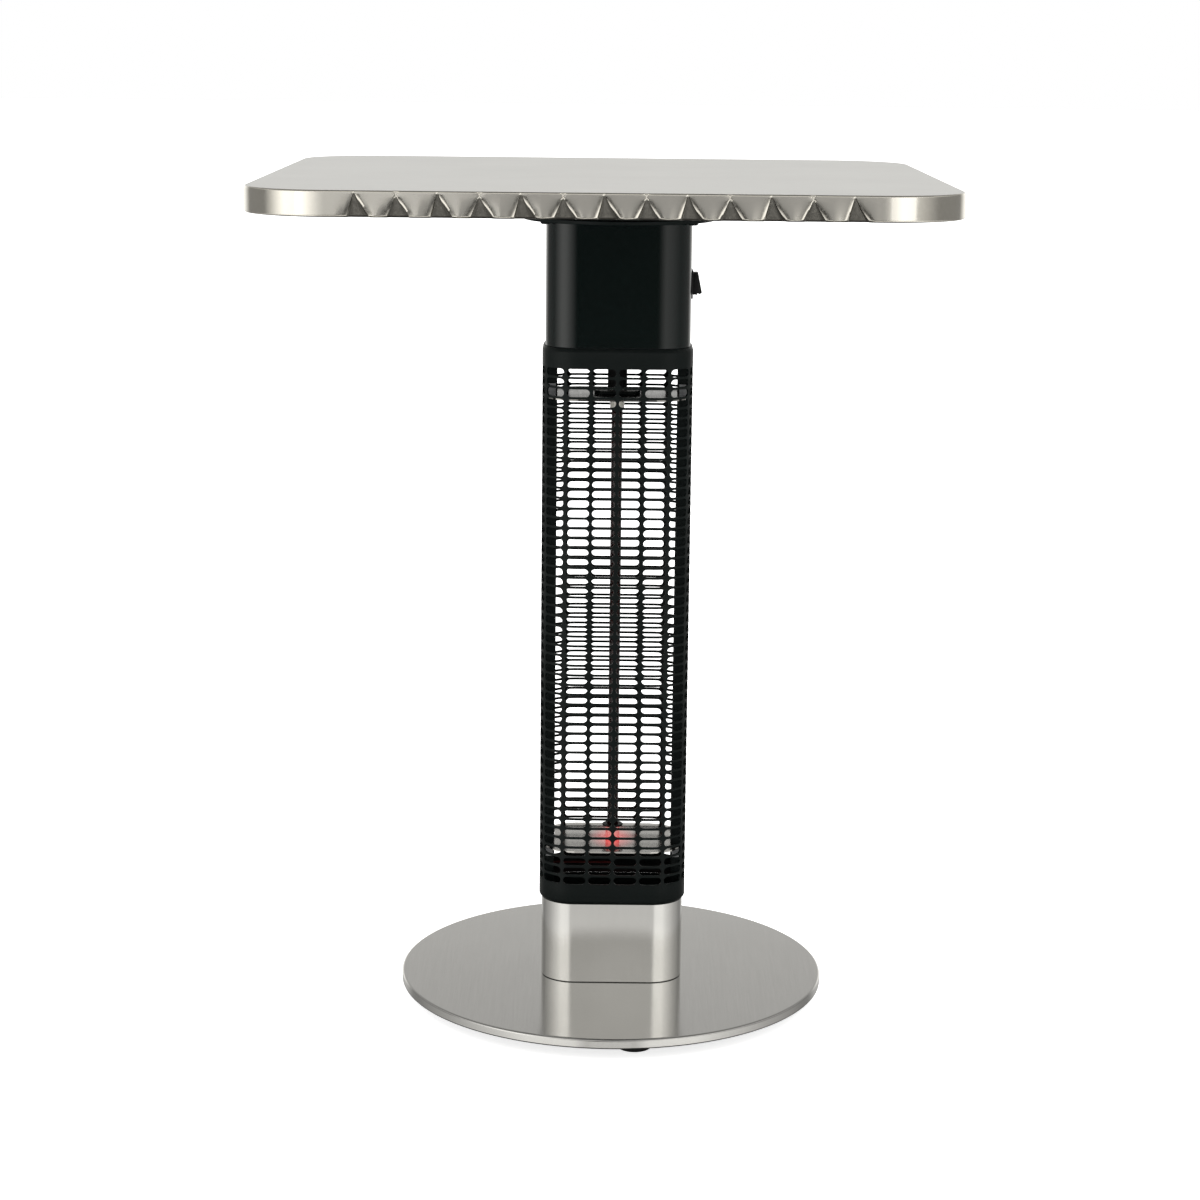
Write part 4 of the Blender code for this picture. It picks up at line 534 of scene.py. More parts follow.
def dent_place(share, level, notched, top):
    """Where a point of the band goes: its new place along the dent's pitch and its depth."""
    apex, reach_left, reach_right, curve, soft_left, soft_right = NOTCHED_DENT if notched else TALL_DENT
    drop = max(0.0, 1.0 - level / apex)
    left, right = -reach_left * drop, reach_right * drop ** curve
    floor = top.dent_depth * drop * apex
    beside = DRAWN_IN * drop
    if notched and level > NOTCH_FOOT:
        rise = (level - NOTCH_FOOT) / (1 - NOTCH_FOOT)
        left, right = -NOTCH_HALF_WIDTH * rise, NOTCH_HALF_WIDTH * rise
        floor = NOTCH_DEPTH * rise * min(1.0, (1 - level) / (1 - NOTCH_PEAK))
    half = top.dent_pitch / 2
    places = (-half, left - WALL_START - soft_left * drop, left, right,
              right + WALL_START + soft_right * drop, half)
    number = next((k for k in range(4) if share <= DENT_KEYS[k + 1] + WELD), 4)
    part = (share - DENT_KEYS[number]) / (DENT_KEYS[number + 1] - DENT_KEYS[number])
    shift = places[number] + part * (places[number + 1] - places[number])
    smooth = part * part * (3 - 2 * part)
    depths = (beside * smooth, beside + (floor - beside) * smooth, floor,
              floor + (beside - floor) * smooth, beside * (1 - smooth))
    return shift, max(0.0, depths[number])


# Under the top

PLATE_STEPS = 128
CENTRE_HOLE = 0.012               # in the spacer board and the mounting plate
SCREW_STEPS = 24
SCREW_SHANK, SCREW_TIP = 0.0024, 0.003
SCREW_HEAD_HEIGHT, SCREW_SHOULDER, SCREW_DOME = 0.0026, 0.0014, 0.0003
SCREW_CROWN = 0.75                # the flatter middle of a screw's pan head, as a share of its radius


def build_underside(top):
    """The laminate sheet, the spacer board, the round mounting plate and its screws."""
    low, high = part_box("underside_sheet")
    shape = bmesh.new()
    radius = top.corner_radius - (low.x - TOP_LOW.x)
    rounded_face(shape, low, high, radius, TOP_CORNER_STEPS, low.z)
    raised(shape, list(shape.faces), high.z - low.z)
    outwards(shape)
    keep(shape, "underside_laminate", "grey_laminate_sheet", replaces=["underside_sheet"])
    # The spacer board is fibreboard; giving it the matt black coat is painted shade under the top.
    for node, name, slot, edge_mm in (("spacer_board", "spacer_disc", "fibreboard", 0.4),
                                      ("mounting_plate", "mounting_disc", "black_enamel", 0.6)):
        foot, head, radius, _ = round_node(node)
        turned(node, name, "matt_black_coat",
               [(CENTRE_HOLE, foot), (radius, foot), (radius, head), (CENTRE_HOLE, head)],
               (0, edge_mm, edge_mm, 0), PLATE_STEPS)
    for number in range(1, 5):
        node = "mounting_screw_%d" % number
        crown, tip, radius, place = round_node(node)
        seat = crown + SCREW_HEAD_HEIGHT
        section = [(0, crown), (SCREW_CROWN * radius, crown + SCREW_DOME), (radius, crown + SCREW_SHOULDER),
                   (radius, seat), (SCREW_SHANK, seat), (SCREW_SHANK, tip - SCREW_TIP), (0, tip)]
        turned(node, "mount_screw_pan_%d" % number, "matt_black_coat", section,
               (0, 1.2, 0.5, 0.1, 0, 0, 0), SCREW_STEPS, place)


# Guard

SLOT_END_STEPS = 8
HAIR = WELD / 10                  # heights nearer than this are the same
BAND_START = 0.004                # from the slots to the first row of points in the plain bands
# The bands' outer edges lean in, in mm: how far from the edge, and how far in
FOOT_LEAN = ((2.4, 0), (1.8, 0.2), (0, 1.95))
COLLAR_LEAN = ((3.4, 0), (2.7, 0.3), (0, 2.4))


def slotted_cell(width, height, slot_width, slot_height):
    """One flat cell of the guard's wall round a slot with round ends, upright in X and Z."""
    shape = bmesh.new()
    radius = slot_height / 2
    reach = slot_width / 2 - radius
    start = shape.verts.new((reach, 0, radius))
    bmesh.ops.spin(shape, geom=[start], cent=(reach, 0, 0), axis=(0, 1, 0), angle=math.pi,
                   steps=SLOT_END_STEPS)
    bmesh.ops.mirror(shape, geom=shape.verts[:] + shape.edges[:], axis="X", merge_dist=-1)
    for side in (1, -1):
        ends = [v for v in shape.verts if abs(v.co.z - side * radius) < HAIR]
        bmesh.ops.subdivide_edges(shape, edges=[shape.edges.new(ends)], cuts=2)
    for vert in new_verts(bmesh.ops.extrude_edge_only(shape, edges=shape.edges[:])):
        x, z = vert.co.x, vert.co.z
        if abs(x) <= reach + HAIR:
            vert.co.z = math.copysign(height / 2, z)
        else:
            out = Vector(((abs(x) - reach) / radius, abs(z) / radius))
            out /= max(out)
            vert.co.x = math.copysign(reach + out.x * (width / 2 - reach), x)
            vert.co.z = math.copysign(out.y * height / 2, z) if abs(z) > HAIR else 0.0
    return shape


def repeated(shape, count, step):
    """Copies of everything in the shape, side by side."""
    source = shape.verts[:] + shape.edges[:] + shape.faces[:]
    for k in range(1, count):
        made = bmesh.ops.duplicate(shape, geom=source)
        bmesh.ops.translate(shape, vec=Vector(step) * k, verts=new_verts(made))
    bmesh.ops.remove_doubles(shape, verts=shape.verts, dist=WELD)


def pulled_edge(shape, height, rows):
    """Extrude the flat sheet's edge at a height through rows of new heights and insets."""
    edges = [e for e in shape.edges if e.is_boundary and all(abs(v.co.z - height) < WELD for v in e.verts)]
    for new_height, inset in rows:
        made = bmesh.ops.extrude_edge_only(shape, edges=edges)
        for vert in new_verts(made):
            vert.co.z, vert.co.y = new_height, inset
        edges = [g for g in made["geom"] if isinstance(g, bmesh.types.BMEdge)
                 and all(abs(v.co.z - new_height) < WELD for v in g.verts)]


def rounded_place(distance, inset, half_x, half_y, radius):
    """Point of a rounded rectangle at a distance along its edge from the front centre, moved in by inset."""
    arc = QUARTER * radius
    flat_x, flat_y = half_x - radius, half_y - radius
    runs = [flat_x, arc, 2 * flat_y, arc, 2 * flat_x, arc, 2 * flat_y, arc, flat_x]
    corners = [Vector(c) for c in ((flat_x, -flat_y), (flat_x, flat_y), (-flat_x, flat_y), (-flat_x, -flat_y))]
    left, corner = distance, 0
    for number, run in enumerate(runs):
        if left <= run or number == len(runs) - 1:
            break
        left -= run
        corner += number % 2
    heading = corner * QUARTER
    if number % 2:
        heading += left / radius
        return corners[corner] + (radius - inset) * Vector((math.sin(heading), -math.cos(heading)))
    along = Vector((math.cos(heading), math.sin(heading)))
    outward = Vector((along.y, -along.x))
    start = corners[(corner - 1) % 4] if number else Vector((0, -flat_y))
    return start + along * left + outward * (radius - inset)


def build_guard(guard):
    """The black guard: one slotted cell repeated, given its bands and wall, and wrapped round the lamp."""
    half_x, half_y = (GUARD_HIGH.x - GUARD_LOW.x) / 2, (GUARD_HIGH.y - GUARD_LOW.y) / 2
    length = 4 * (half_x + half_y - 2 * guard.corner_radius) + 2 * math.pi * guard.corner_radius
    first = GUARD_LOW.z + guard.foot_band
    last = GUARD_HIGH.z - guard.collar_band
    width, height = length / guard.columns, (last - first) / guard.rows
    shape = slotted_cell(width, height, width - guard.upright, height - guard.rib)
    bmesh.ops.translate(shape, vec=(width / 2, 0, first + height / 2), verts=shape.verts)
    repeated(shape, guard.columns, (width, 0, 0))
    repeated(shape, guard.rows, (0, 0, height))
    for start, edge, up, lean in ((first, GUARD_LOW.z, 1, FOOT_LEAN), (last, GUARD_HIGH.z, -1, COLLAR_LEAN)):
        pulled_edge(shape, start, [(start - up * BAND_START, 0)]
                    + [(edge + up * rise * MM, inset * MM) for rise, inset in lean])
    inner = new_verts(bmesh.ops.extrude_face_region(shape, geom=shape.faces[:]))
    bmesh.ops.translate(shape, vec=(0, guard.wall, 0), verts=inner)
    ends = [f for f in shape.faces if all(v.co.x < WELD for v in f.verts)
            or all(v.co.x > length - WELD for v in f.verts)]
    bmesh.ops.delete(shape, geom=ends, context="FACES")
    for vert in shape.verts:
        place = rounded_place(vert.co.x % length, vert.co.y, half_x, half_y, guard.corner_radius)
        vert.co.x, vert.co.y = COLUMN_X + place.x, place.y
    outwards(shape)
    keep(shape, "slotted_guard", "matt_black_coat", replaces=["lamp_guard"])


# Column

TUBE_CORNER_STEPS = 20
SHIELD_WIDTH, SHIELD_ROUND = 0.037, 0.0003


def build_column(column):
    """The black housing and the stainless stub: smooth tubes; their inner faces and the stub's upper end take
    the matt black coat, which in the stub is painted shade.
    """
    for name, node, radius, finish, slot in (
            ("black_housing", "upper_housing", column.housing_radius, "satin_black_coat", "black_enamel"),
            ("stainless_stub", "stub_column", column.stub_radius, "brushed_stainless_tube", "brushed_steel")):
        low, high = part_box(node)
        half_x, half_y = max(high.x - COLUMN_X, COLUMN_X - low.x), -low.y
        shape = bmesh.new()
        face = rounded_face(shape, (COLUMN_X - half_x, -half_y), (COLUMN_X + half_x, half_y), radius,
                            TUBE_CORNER_STEPS, low.z)
        bmesh.ops.inset_region(shape, faces=[face], thickness=column.wall, use_boundary=True,
                               use_even_offset=True)
        bmesh.ops.delete(shape, geom=[face], context="FACES")
        raised(shape, shape.faces[:], high.z - low.z)
        outwards(shape)
        ends = [e for e in sharp_edges(shape) if abs(e.verts[0].co.z - e.verts[1].co.z) < WELD]
        broken_edges(shape, ends, column.edge_round)
        flat_x, flat_y, margin = half_x - radius - MM, half_y - radius - MM, column.edge_round + SUPPORT
        for point, across in (((COLUMN_X - flat_x, 0, 0), (1, 0, 0)), ((COLUMN_X + flat_x, 0, 0), (1, 0, 0)),
                              ((0, -flat_y, 0), (0, 1, 0)), ((0, flat_y, 0), (0, 1, 0)),
                              ((0, 0, low.z + margin), (0, 0, 1)), ((0, 0, high.z - margin), (0, 0, 1))):
            whole = shape.verts[:] + shape.edges[:] + shape.faces[:]
            bmesh.ops.bisect_plane(shape, geom=whole, plane_co=point, plane_no=across)
        shape.normal_update()
        # Inner faces, and the stub's upper end, take the matt black coat: in the stub this is painted shade
        # where its steel inside shows through the guard's slots.
        for face in shape.faces:
            middle = face.calc_center_median()
            across = face.normal.x * (middle.x - COLUMN_X) + face.normal.y * middle.y
            painted_shade_end = node == "stub_column" and middle.z > high.z - MM
            face.material_index = int(across < -WELD or painted_shade_end)
        keep(shape, name, finish, replaces=[node], extra=["matt_black_coat"])


def build_shields(guard):
    """Thin strips on the posts' outer faces, which close the guard's narrow sides."""
    for side, name in ((-1, "left"), (1, "right")):
        low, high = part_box("side_post_" + name)
        inner = (high.x if side > 0 else low.x) + side * SEAT_GAP
        outer = (GUARD_HIGH.x if side > 0 else GUARD_LOW.x) - side * (guard.wall + SEAT_GAP)
        bottom, top = GUARD_LOW.z + SEAT_GAP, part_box("upper_housing")[0].z - SEAT_GAP
        shape = bmesh.new()
        block(shape, (abs(outer - inner), SHIELD_WIDTH, top - bottom),
              ((inner + outer) / 2, 0, (bottom + top) / 2))
        broken_edges(shape, shape.edges[:], SHIELD_ROUND)
        keep(shape, "side_shield_" + name, "matt_black_coat")


# Rocker switch: across the switch, along it and out of the housing

HOUSING_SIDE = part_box("upper_housing")[1].x
SWITCH_LOW, SWITCH_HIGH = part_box("switch_body")
SWITCH_Z = (SWITCH_LOW.z + SWITCH_HIGH.z) / 2
BEZEL_THICKNESS = 0.0014
BEZEL_CORNER, BEZEL_CORNER_STEPS = 0.0016, 5
BEZEL_ROUND, BEZEL_ROUND_STEPS = 0.0005, 3
BEZEL_INSET = 0.0012              # from the bezel's edges to what the pocket and the body grow from
POCKET_HALF_WIDTH, POCKET_HALF_LENGTH, POCKET_DEPTH = 0.0078, 0.0113, 0.0075
BODY_HALF_WIDTH, BODY_HALF_LENGTH, BODY_DEPTH = 0.0098, 0.0123, 0.0215
ROCKER_PIVOT_OUT = 0.0004
ROCKER_REST = math.radians(11.5)
ROCKER_HALF_WIDTH, ROCKER_ROUND = 0.0075, 0.00025
TAB, TAB_SPACING = (0.0048, 0.0008, 0.0065), 0.007        # the contacts behind the body
# The rocker's side view about its pivot, in mm: along the switch and out. Its lower end is ribbed for the
# finger.
ROCKER_MM = ((9.3, 8.0), (10.6, 0.5), (4.0, -3.2), (-4.0, -3.2), (-10.4, 0.3), (-9.6, 1.0), (-10.7, 2.7),
             (-9.1, 3.9), (-10.5, 5.7), (-9.3, 8.0))


def build_switch():
    """The switch's bezel with the pocket and body behind it, and the rocker on its pivot."""
    shape = bmesh.new()
    half = ((SWITCH_HIGH.y - SWITCH_LOW.y) / 2, (SWITCH_HIGH.z - SWITCH_LOW.z) / 2)
    back = rounded_face(shape, (-half[0], -half[1]), half, BEZEL_CORNER, BEZEL_CORNER_STEPS, SEAT_GAP)
    front = raised(shape, [back], BEZEL_THICKNESS)
    outwards(shape)
    rim = [e for face in front for e in face.edges]
    broken_edges(shape, rim, BEZEL_ROUND, BEZEL_ROUND_STEPS)
    flats = sorted(shape.faces, key=lambda face: -face.calc_area())[:2]
    back, front = sorted(flats, key=lambda face: face.calc_center_median().z)
    for face, half_width, half_length, depth in (
            (front, POCKET_HALF_WIDTH, POCKET_HALF_LENGTH, -POCKET_DEPTH),
            (back, BODY_HALF_WIDTH, BODY_HALF_LENGTH, BEZEL_THICKNESS / 2 - BODY_DEPTH)):
        bmesh.ops.inset_region(shape, faces=[face], thickness=BEZEL_INSET, use_even_offset=True)
        reach = (max(v.co.x for v in face.verts), max(v.co.y for v in face.verts))
        bmesh.ops.scale(shape, vec=(half_width / reach[0], half_length / reach[1], 1), verts=face.verts[:])
        made = bmesh.ops.extrude_discrete_faces(shape, faces=[face])["faces"]
        bmesh.ops.translate(shape, vec=(0, 0, depth), verts=made[0].verts[:])
    body_back = SEAT_GAP + BEZEL_THICKNESS / 2 - BODY_DEPTH
    for k in (-1, 0, 1):
        block(shape, TAB, (0, TAB_SPACING * k, body_back - TAB[2] / 2))
    out_of_the_side = Matrix(((0, 0, 1), (1, 0, 0), (0, 1, 0))).to_4x4()
    stood = Matrix.Translation((HOUSING_SIDE, 0, SWITCH_Z)) @ out_of_the_side
    bmesh.ops.transform(shape, matrix=stood, verts=shape.verts)
    keep(shape, "switch_frame", "moulded_black_plastic", replaces=["switch_body"])

    shape = bmesh.new()
    outline = [shape.verts.new((-ROCKER_HALF_WIDTH, u * MM, v * MM)) for u, v in ROCKER_MM]
    made = bmesh.ops.extrude_face_region(shape, geom=[shape.faces.new(outline)])
    bmesh.ops.translate(shape, vec=(2 * ROCKER_HALF_WIDTH, 0, 0), verts=new_verts(made))
    outwards(shape)
    broken_edges(shape, sharp_edges(shape), ROCKER_ROUND)
    place = stood @ Matrix.Translation((0, 0, ROCKER_PIVOT_OUT)) @ Matrix.Rotation(-ROCKER_REST, 4, "X")
    bmesh.ops.transform(shape, matrix=place, verts=shape.verts)
    keep(shape, "rocker_key", "moulded_black_plastic", body="rocker",
         replaces=["switch_rocker"])


# Base

BASE_STEPS = 180
BASE_SHEET, BASE_LIP, BASE_HOLE = 0.0012, 0.006, 0.010
BASE_ROUND_STEPS = 5
FOOT_STEPS, FOOT_STUD, FOOT_TAPER = 48, 0.004, 0.002


def build_base():
    """The base disc and its rubber feet."""
    foot, head, radius, _ = round_node("base_cover")
    lip, inside = radius - BASE_LIP, radius - BASE_SHEET
    section = [(BASE_HOLE, head), (radius, head), (radius, foot), (lip, foot), (lip, foot + BASE_SHEET),
               (inside, foot + BASE_SHEET), (inside, head - BASE_SHEET), (BASE_HOLE, head - BASE_SHEET)]
    turned("base_cover", "base_disc", "buffed_stainless_disc", section,
           (0, 2.0, 1.2, 0, 0, 0, 0, 0), BASE_STEPS, corner_steps=BASE_ROUND_STEPS)
    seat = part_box("base_weight")[0].z - SEAT_GAP
    for number in range(1, 5):
        node = "rubber_foot_%d" % number
        _, tip, radius, place = round_node(node)
        section = [(0, 0), (radius - FOOT_TAPER, 0), (radius, FOOT_TAPER), (radius, seat), (FOOT_STUD, seat),
                   (FOOT_STUD, tip), (0, tip)]
        turned(node, "foot_pad_%d" % number, "moulded_rubber", section,
               (0, 1.0, 1.5, 1.2, 0, 0.5, 0), FOOT_STEPS, place)


# Cable gland on the stub's back: a turned body with a clamping nut that has finger ribs

GLAND_STEPS = 48
GLAND_BORE, GLAND_THREAD, GLAND_NUT, GLAND_MOUTH = 0.0040, 0.0078, 0.0084, 0.0068        # radii
GLAND_BODY, GLAND_SLOPE = 0.009, 0.001    # from the stub's wall to the nut, and the slope up to it
GLAND_ROUNDS_MM = (0, 0.4, 0, 0.5, 0.6, 0.5, 2.2, 0.6)
GLAND_RIBS = 12
RIB, RIB_RING, RIB_RISE = (0.0010, 0.0008, 0.0055), 0.0080, 0.0034


def build_gland():
    """The plastic gland that the supply would leave by."""
    low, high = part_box("cable_gland")
    radius = (high.x - low.x) / 2
    seat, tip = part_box("stub_column")[1].y + SEAT_GAP, high.y
    nut = seat + GLAND_BODY
    section = [(GLAND_BORE, low.y), (GLAND_THREAD, low.y), (GLAND_THREAD, seat), (radius, seat),
               (radius, nut - GLAND_SLOPE), (GLAND_NUT, nut), (GLAND_MOUTH, tip), (GLAND_BORE, tip)]
    shape = bmesh.new()
    spun(shape, rounded_section(section, [r * MM for r in GLAND_ROUNDS_MM]), GLAND_STEPS, (0, 0))
    for k in range(GLAND_RIBS):
        rib = block(shape, RIB, (RIB_RING, 0, nut + RIB_RISE))
        turn = Matrix.Rotation(k * 2 * math.pi / GLAND_RIBS, 3, "Z")
        bmesh.ops.rotate(shape, cent=(0, 0, 0), matrix=turn, verts=rib)
    middle = Matrix.Translation(((low.x + high.x) / 2, 0, (low.z + high.z) / 2))
    bmesh.ops.transform(shape, matrix=middle @ Matrix.Rotation(-QUARTER, 4, "X"), verts=shape.verts)
    keep(shape, "gland_body", "moulded_black_plastic", replaces=["cable_gland"])


# Lamp

LAMP_STEPS = 40
CAP_BODY, CAP_FLANGE, CAP_PIN, CAP_SOCKET = 0.0066, 0.0092, 0.0013, 0.0055
PIN_LENGTH, TAIL_LENGTH, FLANGE_THICKNESS, SOCKET_DEPTH = 0.007, 0.006, 0.002, 0.004
TUBE_WALL = 0.0012
LAMP_ROUND_MM, BOOT_ROUND_MM = 0.3, 1.2
HOLDER_STEPS = 12
HOLDER_ROUND = 0.999              # its ends are a hair short of half circles, so that no edge has no length
STRAND, STRAND_SIDES = 0.0003, 6  # radius and sides of the filament's strand
COIL_STEPS = 12                   # in one turn of the filament
WIRE_BORE = 0.0024


def build_lamp(lamp):
    """The quartz tube with its filament, caps, holders, collar and boot."""
    foot, head, radius, _ = round_node("lamp_tube")
    inside = radius - TUBE_WALL
    turned("lamp_tube", "quartz_tube", "ruby_quartz_glass",
           [(inside, foot), (radius, foot), (radius, head), (inside, head)], [LAMP_ROUND_MM] * 4, LAMP_STEPS)
    wind_filament(lamp)
    turn_cap("upper", 1)
    turn_cap("lower", -1)
    for node, name, finish, slot, bore in (
            ("lamp_collar", "lamp_collar_ring", "matt_black_coat", "black_enamel", CAP_SOCKET),
            ("lamp_boot", "lamp_boot_sleeve", "moulded_rubber", "rubber", CAP_BODY + SEAT_GAP)):
        foot, head, radius, _ = round_node(node)
        section = [(bore, foot), (radius, foot), (radius, head), (bore, head)]
        rounds = [0, LAMP_ROUND_MM, LAMP_ROUND_MM, 0]
        if node == "lamp_boot":
            shoulder = foot + TAIL_LENGTH
            section[3:] = [(WIRE_BORE, head), (WIRE_BORE, shoulder), (bore, shoulder)]
            rounds = [0, LAMP_ROUND_MM, BOOT_ROUND_MM, 0, 0, 0]
        turned(node, name, finish, section, rounds, LAMP_STEPS)
    for level in ("upper", "lower"):
        node = "lamp_holder_" + level
        low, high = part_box(node)
        shape = bmesh.new()
        face = rounded_face(shape, low, high, HOLDER_ROUND * (high.y - low.y) / 2, HOLDER_STEPS, low.z)
        outline = face.edges[:]
        bmesh.ops.delete(shape, geom=[face], context="FACES_ONLY")
        _, bore = circle(shape, len(outline), CAP_BODY + SEAT_GAP, Matrix.Translation((COLUMN_X, 0, low.z)))
        bmesh.ops.bridge_loops(shape, edges=outline + bore)
        raised(shape, shape.faces[:], high.z - low.z)
        outwards(shape)
        keep(shape, "holder_oval_" + level, "matt_black_coat", replaces=[node])


def wind_filament(lamp):
    """The carbon strand, wound in a long coil down the middle of the tube."""
    low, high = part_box("lamp_filament")
    radius = (high.x - low.x) / 2 - STRAND
    start = Matrix.Translation((COLUMN_X + radius, 0, low.z + STRAND)) @ Matrix.Rotation(QUARTER, 4, "X")
    shape = bmesh.new()
    ring, loop = circle(shape, STRAND_SIDES, STRAND, start)
    steps = lamp.turns * COIL_STEPS
    bmesh.ops.spin(shape, geom=ring + loop, cent=(COLUMN_X, 0, 0), axis=(0, 0, 1),
                   dvec=(0, 0, (high.z - low.z - 2 * STRAND) / steps), angle=2 * math.pi * lamp.turns,
                   steps=steps)
    bmesh.ops.holes_fill(shape, edges=[e for e in shape.edges if e.is_boundary])
    outwards(shape)
    keep(shape, "filament_coil", "carbon_filament", replaces=["lamp_filament"])


def turn_cap(level, up):
    """The ceramic cap at one end of the lamp, with its flange, tail and contact pin."""
    node = "lamp_cap_" + level
    low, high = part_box(node)
    mouth, tip = (low.z, high.z) if up > 0 else (high.z, low.z)
    tail = tip - up * PIN_LENGTH
    far = tail - up * TAIL_LENGTH
    near = far - up * FLANGE_THICKNESS
    floor = mouth + up * SOCKET_DEPTH
    section = [(0, tip), (CAP_PIN, tip), (CAP_PIN, tail), (CAP_BODY, tail), (CAP_BODY, far), (CAP_FLANGE, far),
               (CAP_FLANGE, near), (CAP_BODY, near), (CAP_BODY, mouth), (CAP_SOCKET, mouth),
               (CAP_SOCKET, floor), (0, floor)]
    turned(node, "ceramic_cap_" + level, "fired_white_ceramic", section,
           (0, 0.3, 0, 0.8, 0.2, 0.4, 0.4, 0.2, 0.5, 0.2, 0, 0), LAMP_STEPS)


# CAD pieces that are shown as they are

NODE_FINISHES = {
    "zinc_plated_steel": ("base_bolt_", "head_bolt_", "clip_", "foot_plate", "gland_nut", "head_flange",
                          "upper_bulkhead"),
    "polished_reflector_plate": ("lower_reflector",),
    "backed_reflector_plate": ("upper_reflector",),
    "matt_black_coat": ("side_post_",),
    "moulded_black_plastic": ("terminal_block", "tip_switch_body", "thermal_cutout"),
    "rolled_plain_steel": ("base_weight", "tip_switch_weight"),
    "red_silicone_sleeve": ("lamp_lead_", "switch_lead"),
    "pressed_fibreboard": ("table_top_core",),
}


def finish_nodes():
    """Give every CAD node that still shows a material of its own."""
    for name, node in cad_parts.items():
        if node.hide_render:
            continue
        found = [finish for finish, starts in NODE_FINISHES.items() if name.startswith(starts)]
        if not found:
            raise RuntimeError("no finish for the CAD node " + name)
        for slot in node.material_slots:
            slot.material = bpy.data.materials[found[0]]


# Stage

# What three of the zones show far below the horizon
FLOOR_FAR_OFF = ((-42, 0.05), (-34, 0.12), (-24, 0.12))
# What shining pieces see of the studio. Each zone has its strength at degrees round from the camera's side,
# and at degrees above the horizon; where zones meet, the brighter one holds.
STUDIO = (
    # The dim wall behind the camera, with a bright strip near the floor and another high up
    (((-18, 0), (-11, 1), (11, 1), (18, 0)),
     ((-42, 0.04), (-34, 0.12), (-24, 0.12), (-21, 1.0), (-16, 1.0), (-13, 0.03), (11, 0.03),
      (15, 0.9), (35, 0.9), (50, 0.05))),
    # Tall soft boxes left and right of the camera: narrow and bright on the left, broad on the right
    (((-125, 0.02), (-98, 0.04), (-80, 0.45), (-60, 1), (-46, 0.95), (-26, 0.42), (-8, 0.02), (4, 0.02),
      (14, 0.25), (28, 0.55), (50, 0.42), (88, 0.12), (125, 0.03)),
     ((-14, 0), (-12, 1.7), (9, 1.7), (13, 0))),
    # Their feet and their heads, which reach further round
    (((-130, 0.2), (-95, 0.42), (-62, 0.75), (-46, 1), (-20, 1), (-6, 0.25), (6, 0.25), (20, 1), (46, 1),
      (62, 0.75), (95, 0.42), (130, 0.2)),
     (*FLOOR_FAR_OFF, (-20.5, 1.5), (-14, 1.5), (-11, 0), (13.5, 0), (16, 2.1), (23, 2.1), (26, 0.35),
      (60, 0.35), (75, 0.1))),
    # Grey walls at the sides
    (((-80, 1), (-60, 0), (60, 0), (80, 1)),
     (*FLOOR_FAR_OFF, (-20.5, 0.28), (60, 0.28), (75, 0.15))),
    # The white backdrop behind the heater, darker higher up
    (((-150, 1), (-125, 0), (125, 0), (150, 1)),
     (*FLOOR_FAR_OFF, (-20.5, 0.5), (0, 1.35), (5, 1.35), (20, 0.52), (24, 0.5), (60, 0.5), (75, 0.25))),
)
STUDIO_PEAK = 2.1                # the strength that a colour ramp's 1 stands for
SOFT_LIGHT = 1.2                  # what matt surfaces get from all sides
# White cards that only the table top's band shines in: degrees round from the camera's side, width, strength
CARDS = ((-24, 1.8, 0.68), (6, 1.1, 0.38), (31, 1.4, 0.8))
CARD_HEIGHT, CARD_DISTANCE, CARD_LEVEL = 0.8, 2.65, 0.85
CEILING_SIDE, CEILING_WATTS, CEILING_PLACE = 3.0, 30, (0, -0.5, 3.2)
SENSOR_WIDTH, FRAME_SHIFT, SIGHT = 36.0, -0.003225, 200.0


def build_stage(stage):
    """A plain pale floor, soft studio light and a camera at the photograph's viewing angle."""
    shape = bmesh.new()
    bmesh.ops.create_grid(shape, x_segments=1, y_segments=1, size=stage.floor_size / 2)
    mesh = bpy.data.meshes.new("floor")
    shape.to_mesh(mesh)
    shape.free()
    mesh.materials.append(bpy.data.materials["pale_floor"])
    floor = bpy.data.objects.new("floor", mesh)
    floor.visible_glossy = False
    lamp = bpy.data.lights.new("ceiling_light", "AREA")
    lamp.shape, lamp.size, lamp.size_y = "RECTANGLE", CEILING_SIDE, CEILING_SIDE
    lamp.energy = CEILING_WATTS
    ceiling = bpy.data.objects.new("ceiling_light", lamp)
    ceiling.location = CEILING_PLACE
    ceiling.visible_glossy = False
    lens = bpy.data.cameras.new("camera")
    lens.lens, lens.sensor_width = stage.lens, SENSOR_WIDTH
    lens.shift_x, lens.clip_end = FRAME_SHIFT, SIGHT
    camera = bpy.data.objects.new("camera", lens)
    aim = Matrix.Rotation(QUARTER - stage.pitch, 4, "X") @ Matrix.Rotation(stage.roll, 4, "Z")
    camera.matrix_world = Matrix.Translation(stage.eye) @ aim
    for thing in (floor, ceiling, camera):
        bpy.context.scene.collection.objects.link(thing)
    bpy.context.scene.camera = camera
    bpy.context.scene.view_settings.view_transform = "Standard"
    light_the_room()
    place_cards()


def place_cards():
    """The cards, each an area light of even brightness that faces the table top."""
    lit = bpy.data.collections.new("shines_in_cards")
    lit.objects.link(bpy.data.objects["pressed_top"])
    for number, (turn, width, strength) in enumerate(CARDS):
        card = bpy.data.lights.new("card_%d" % number, "AREA")
        card.shape, card.size, card.size_y = "RECTANGLE", width, CARD_HEIGHT
        card.energy = math.pi * width * CARD_HEIGHT * strength
        holder = bpy.data.objects.new(card.name, card)
        round_the_top = Matrix.Rotation(math.radians(turn), 4, "Z")
        in_front = Matrix.Translation((0, -CARD_DISTANCE, CARD_LEVEL)) @ Matrix.Rotation(QUARTER, 4, "X")
        holder.matrix_world = round_the_top @ in_front
        holder.visible_camera = False
        holder.light_linking.receiver_collection = lit
        bpy.context.scene.collection.objects.link(holder)


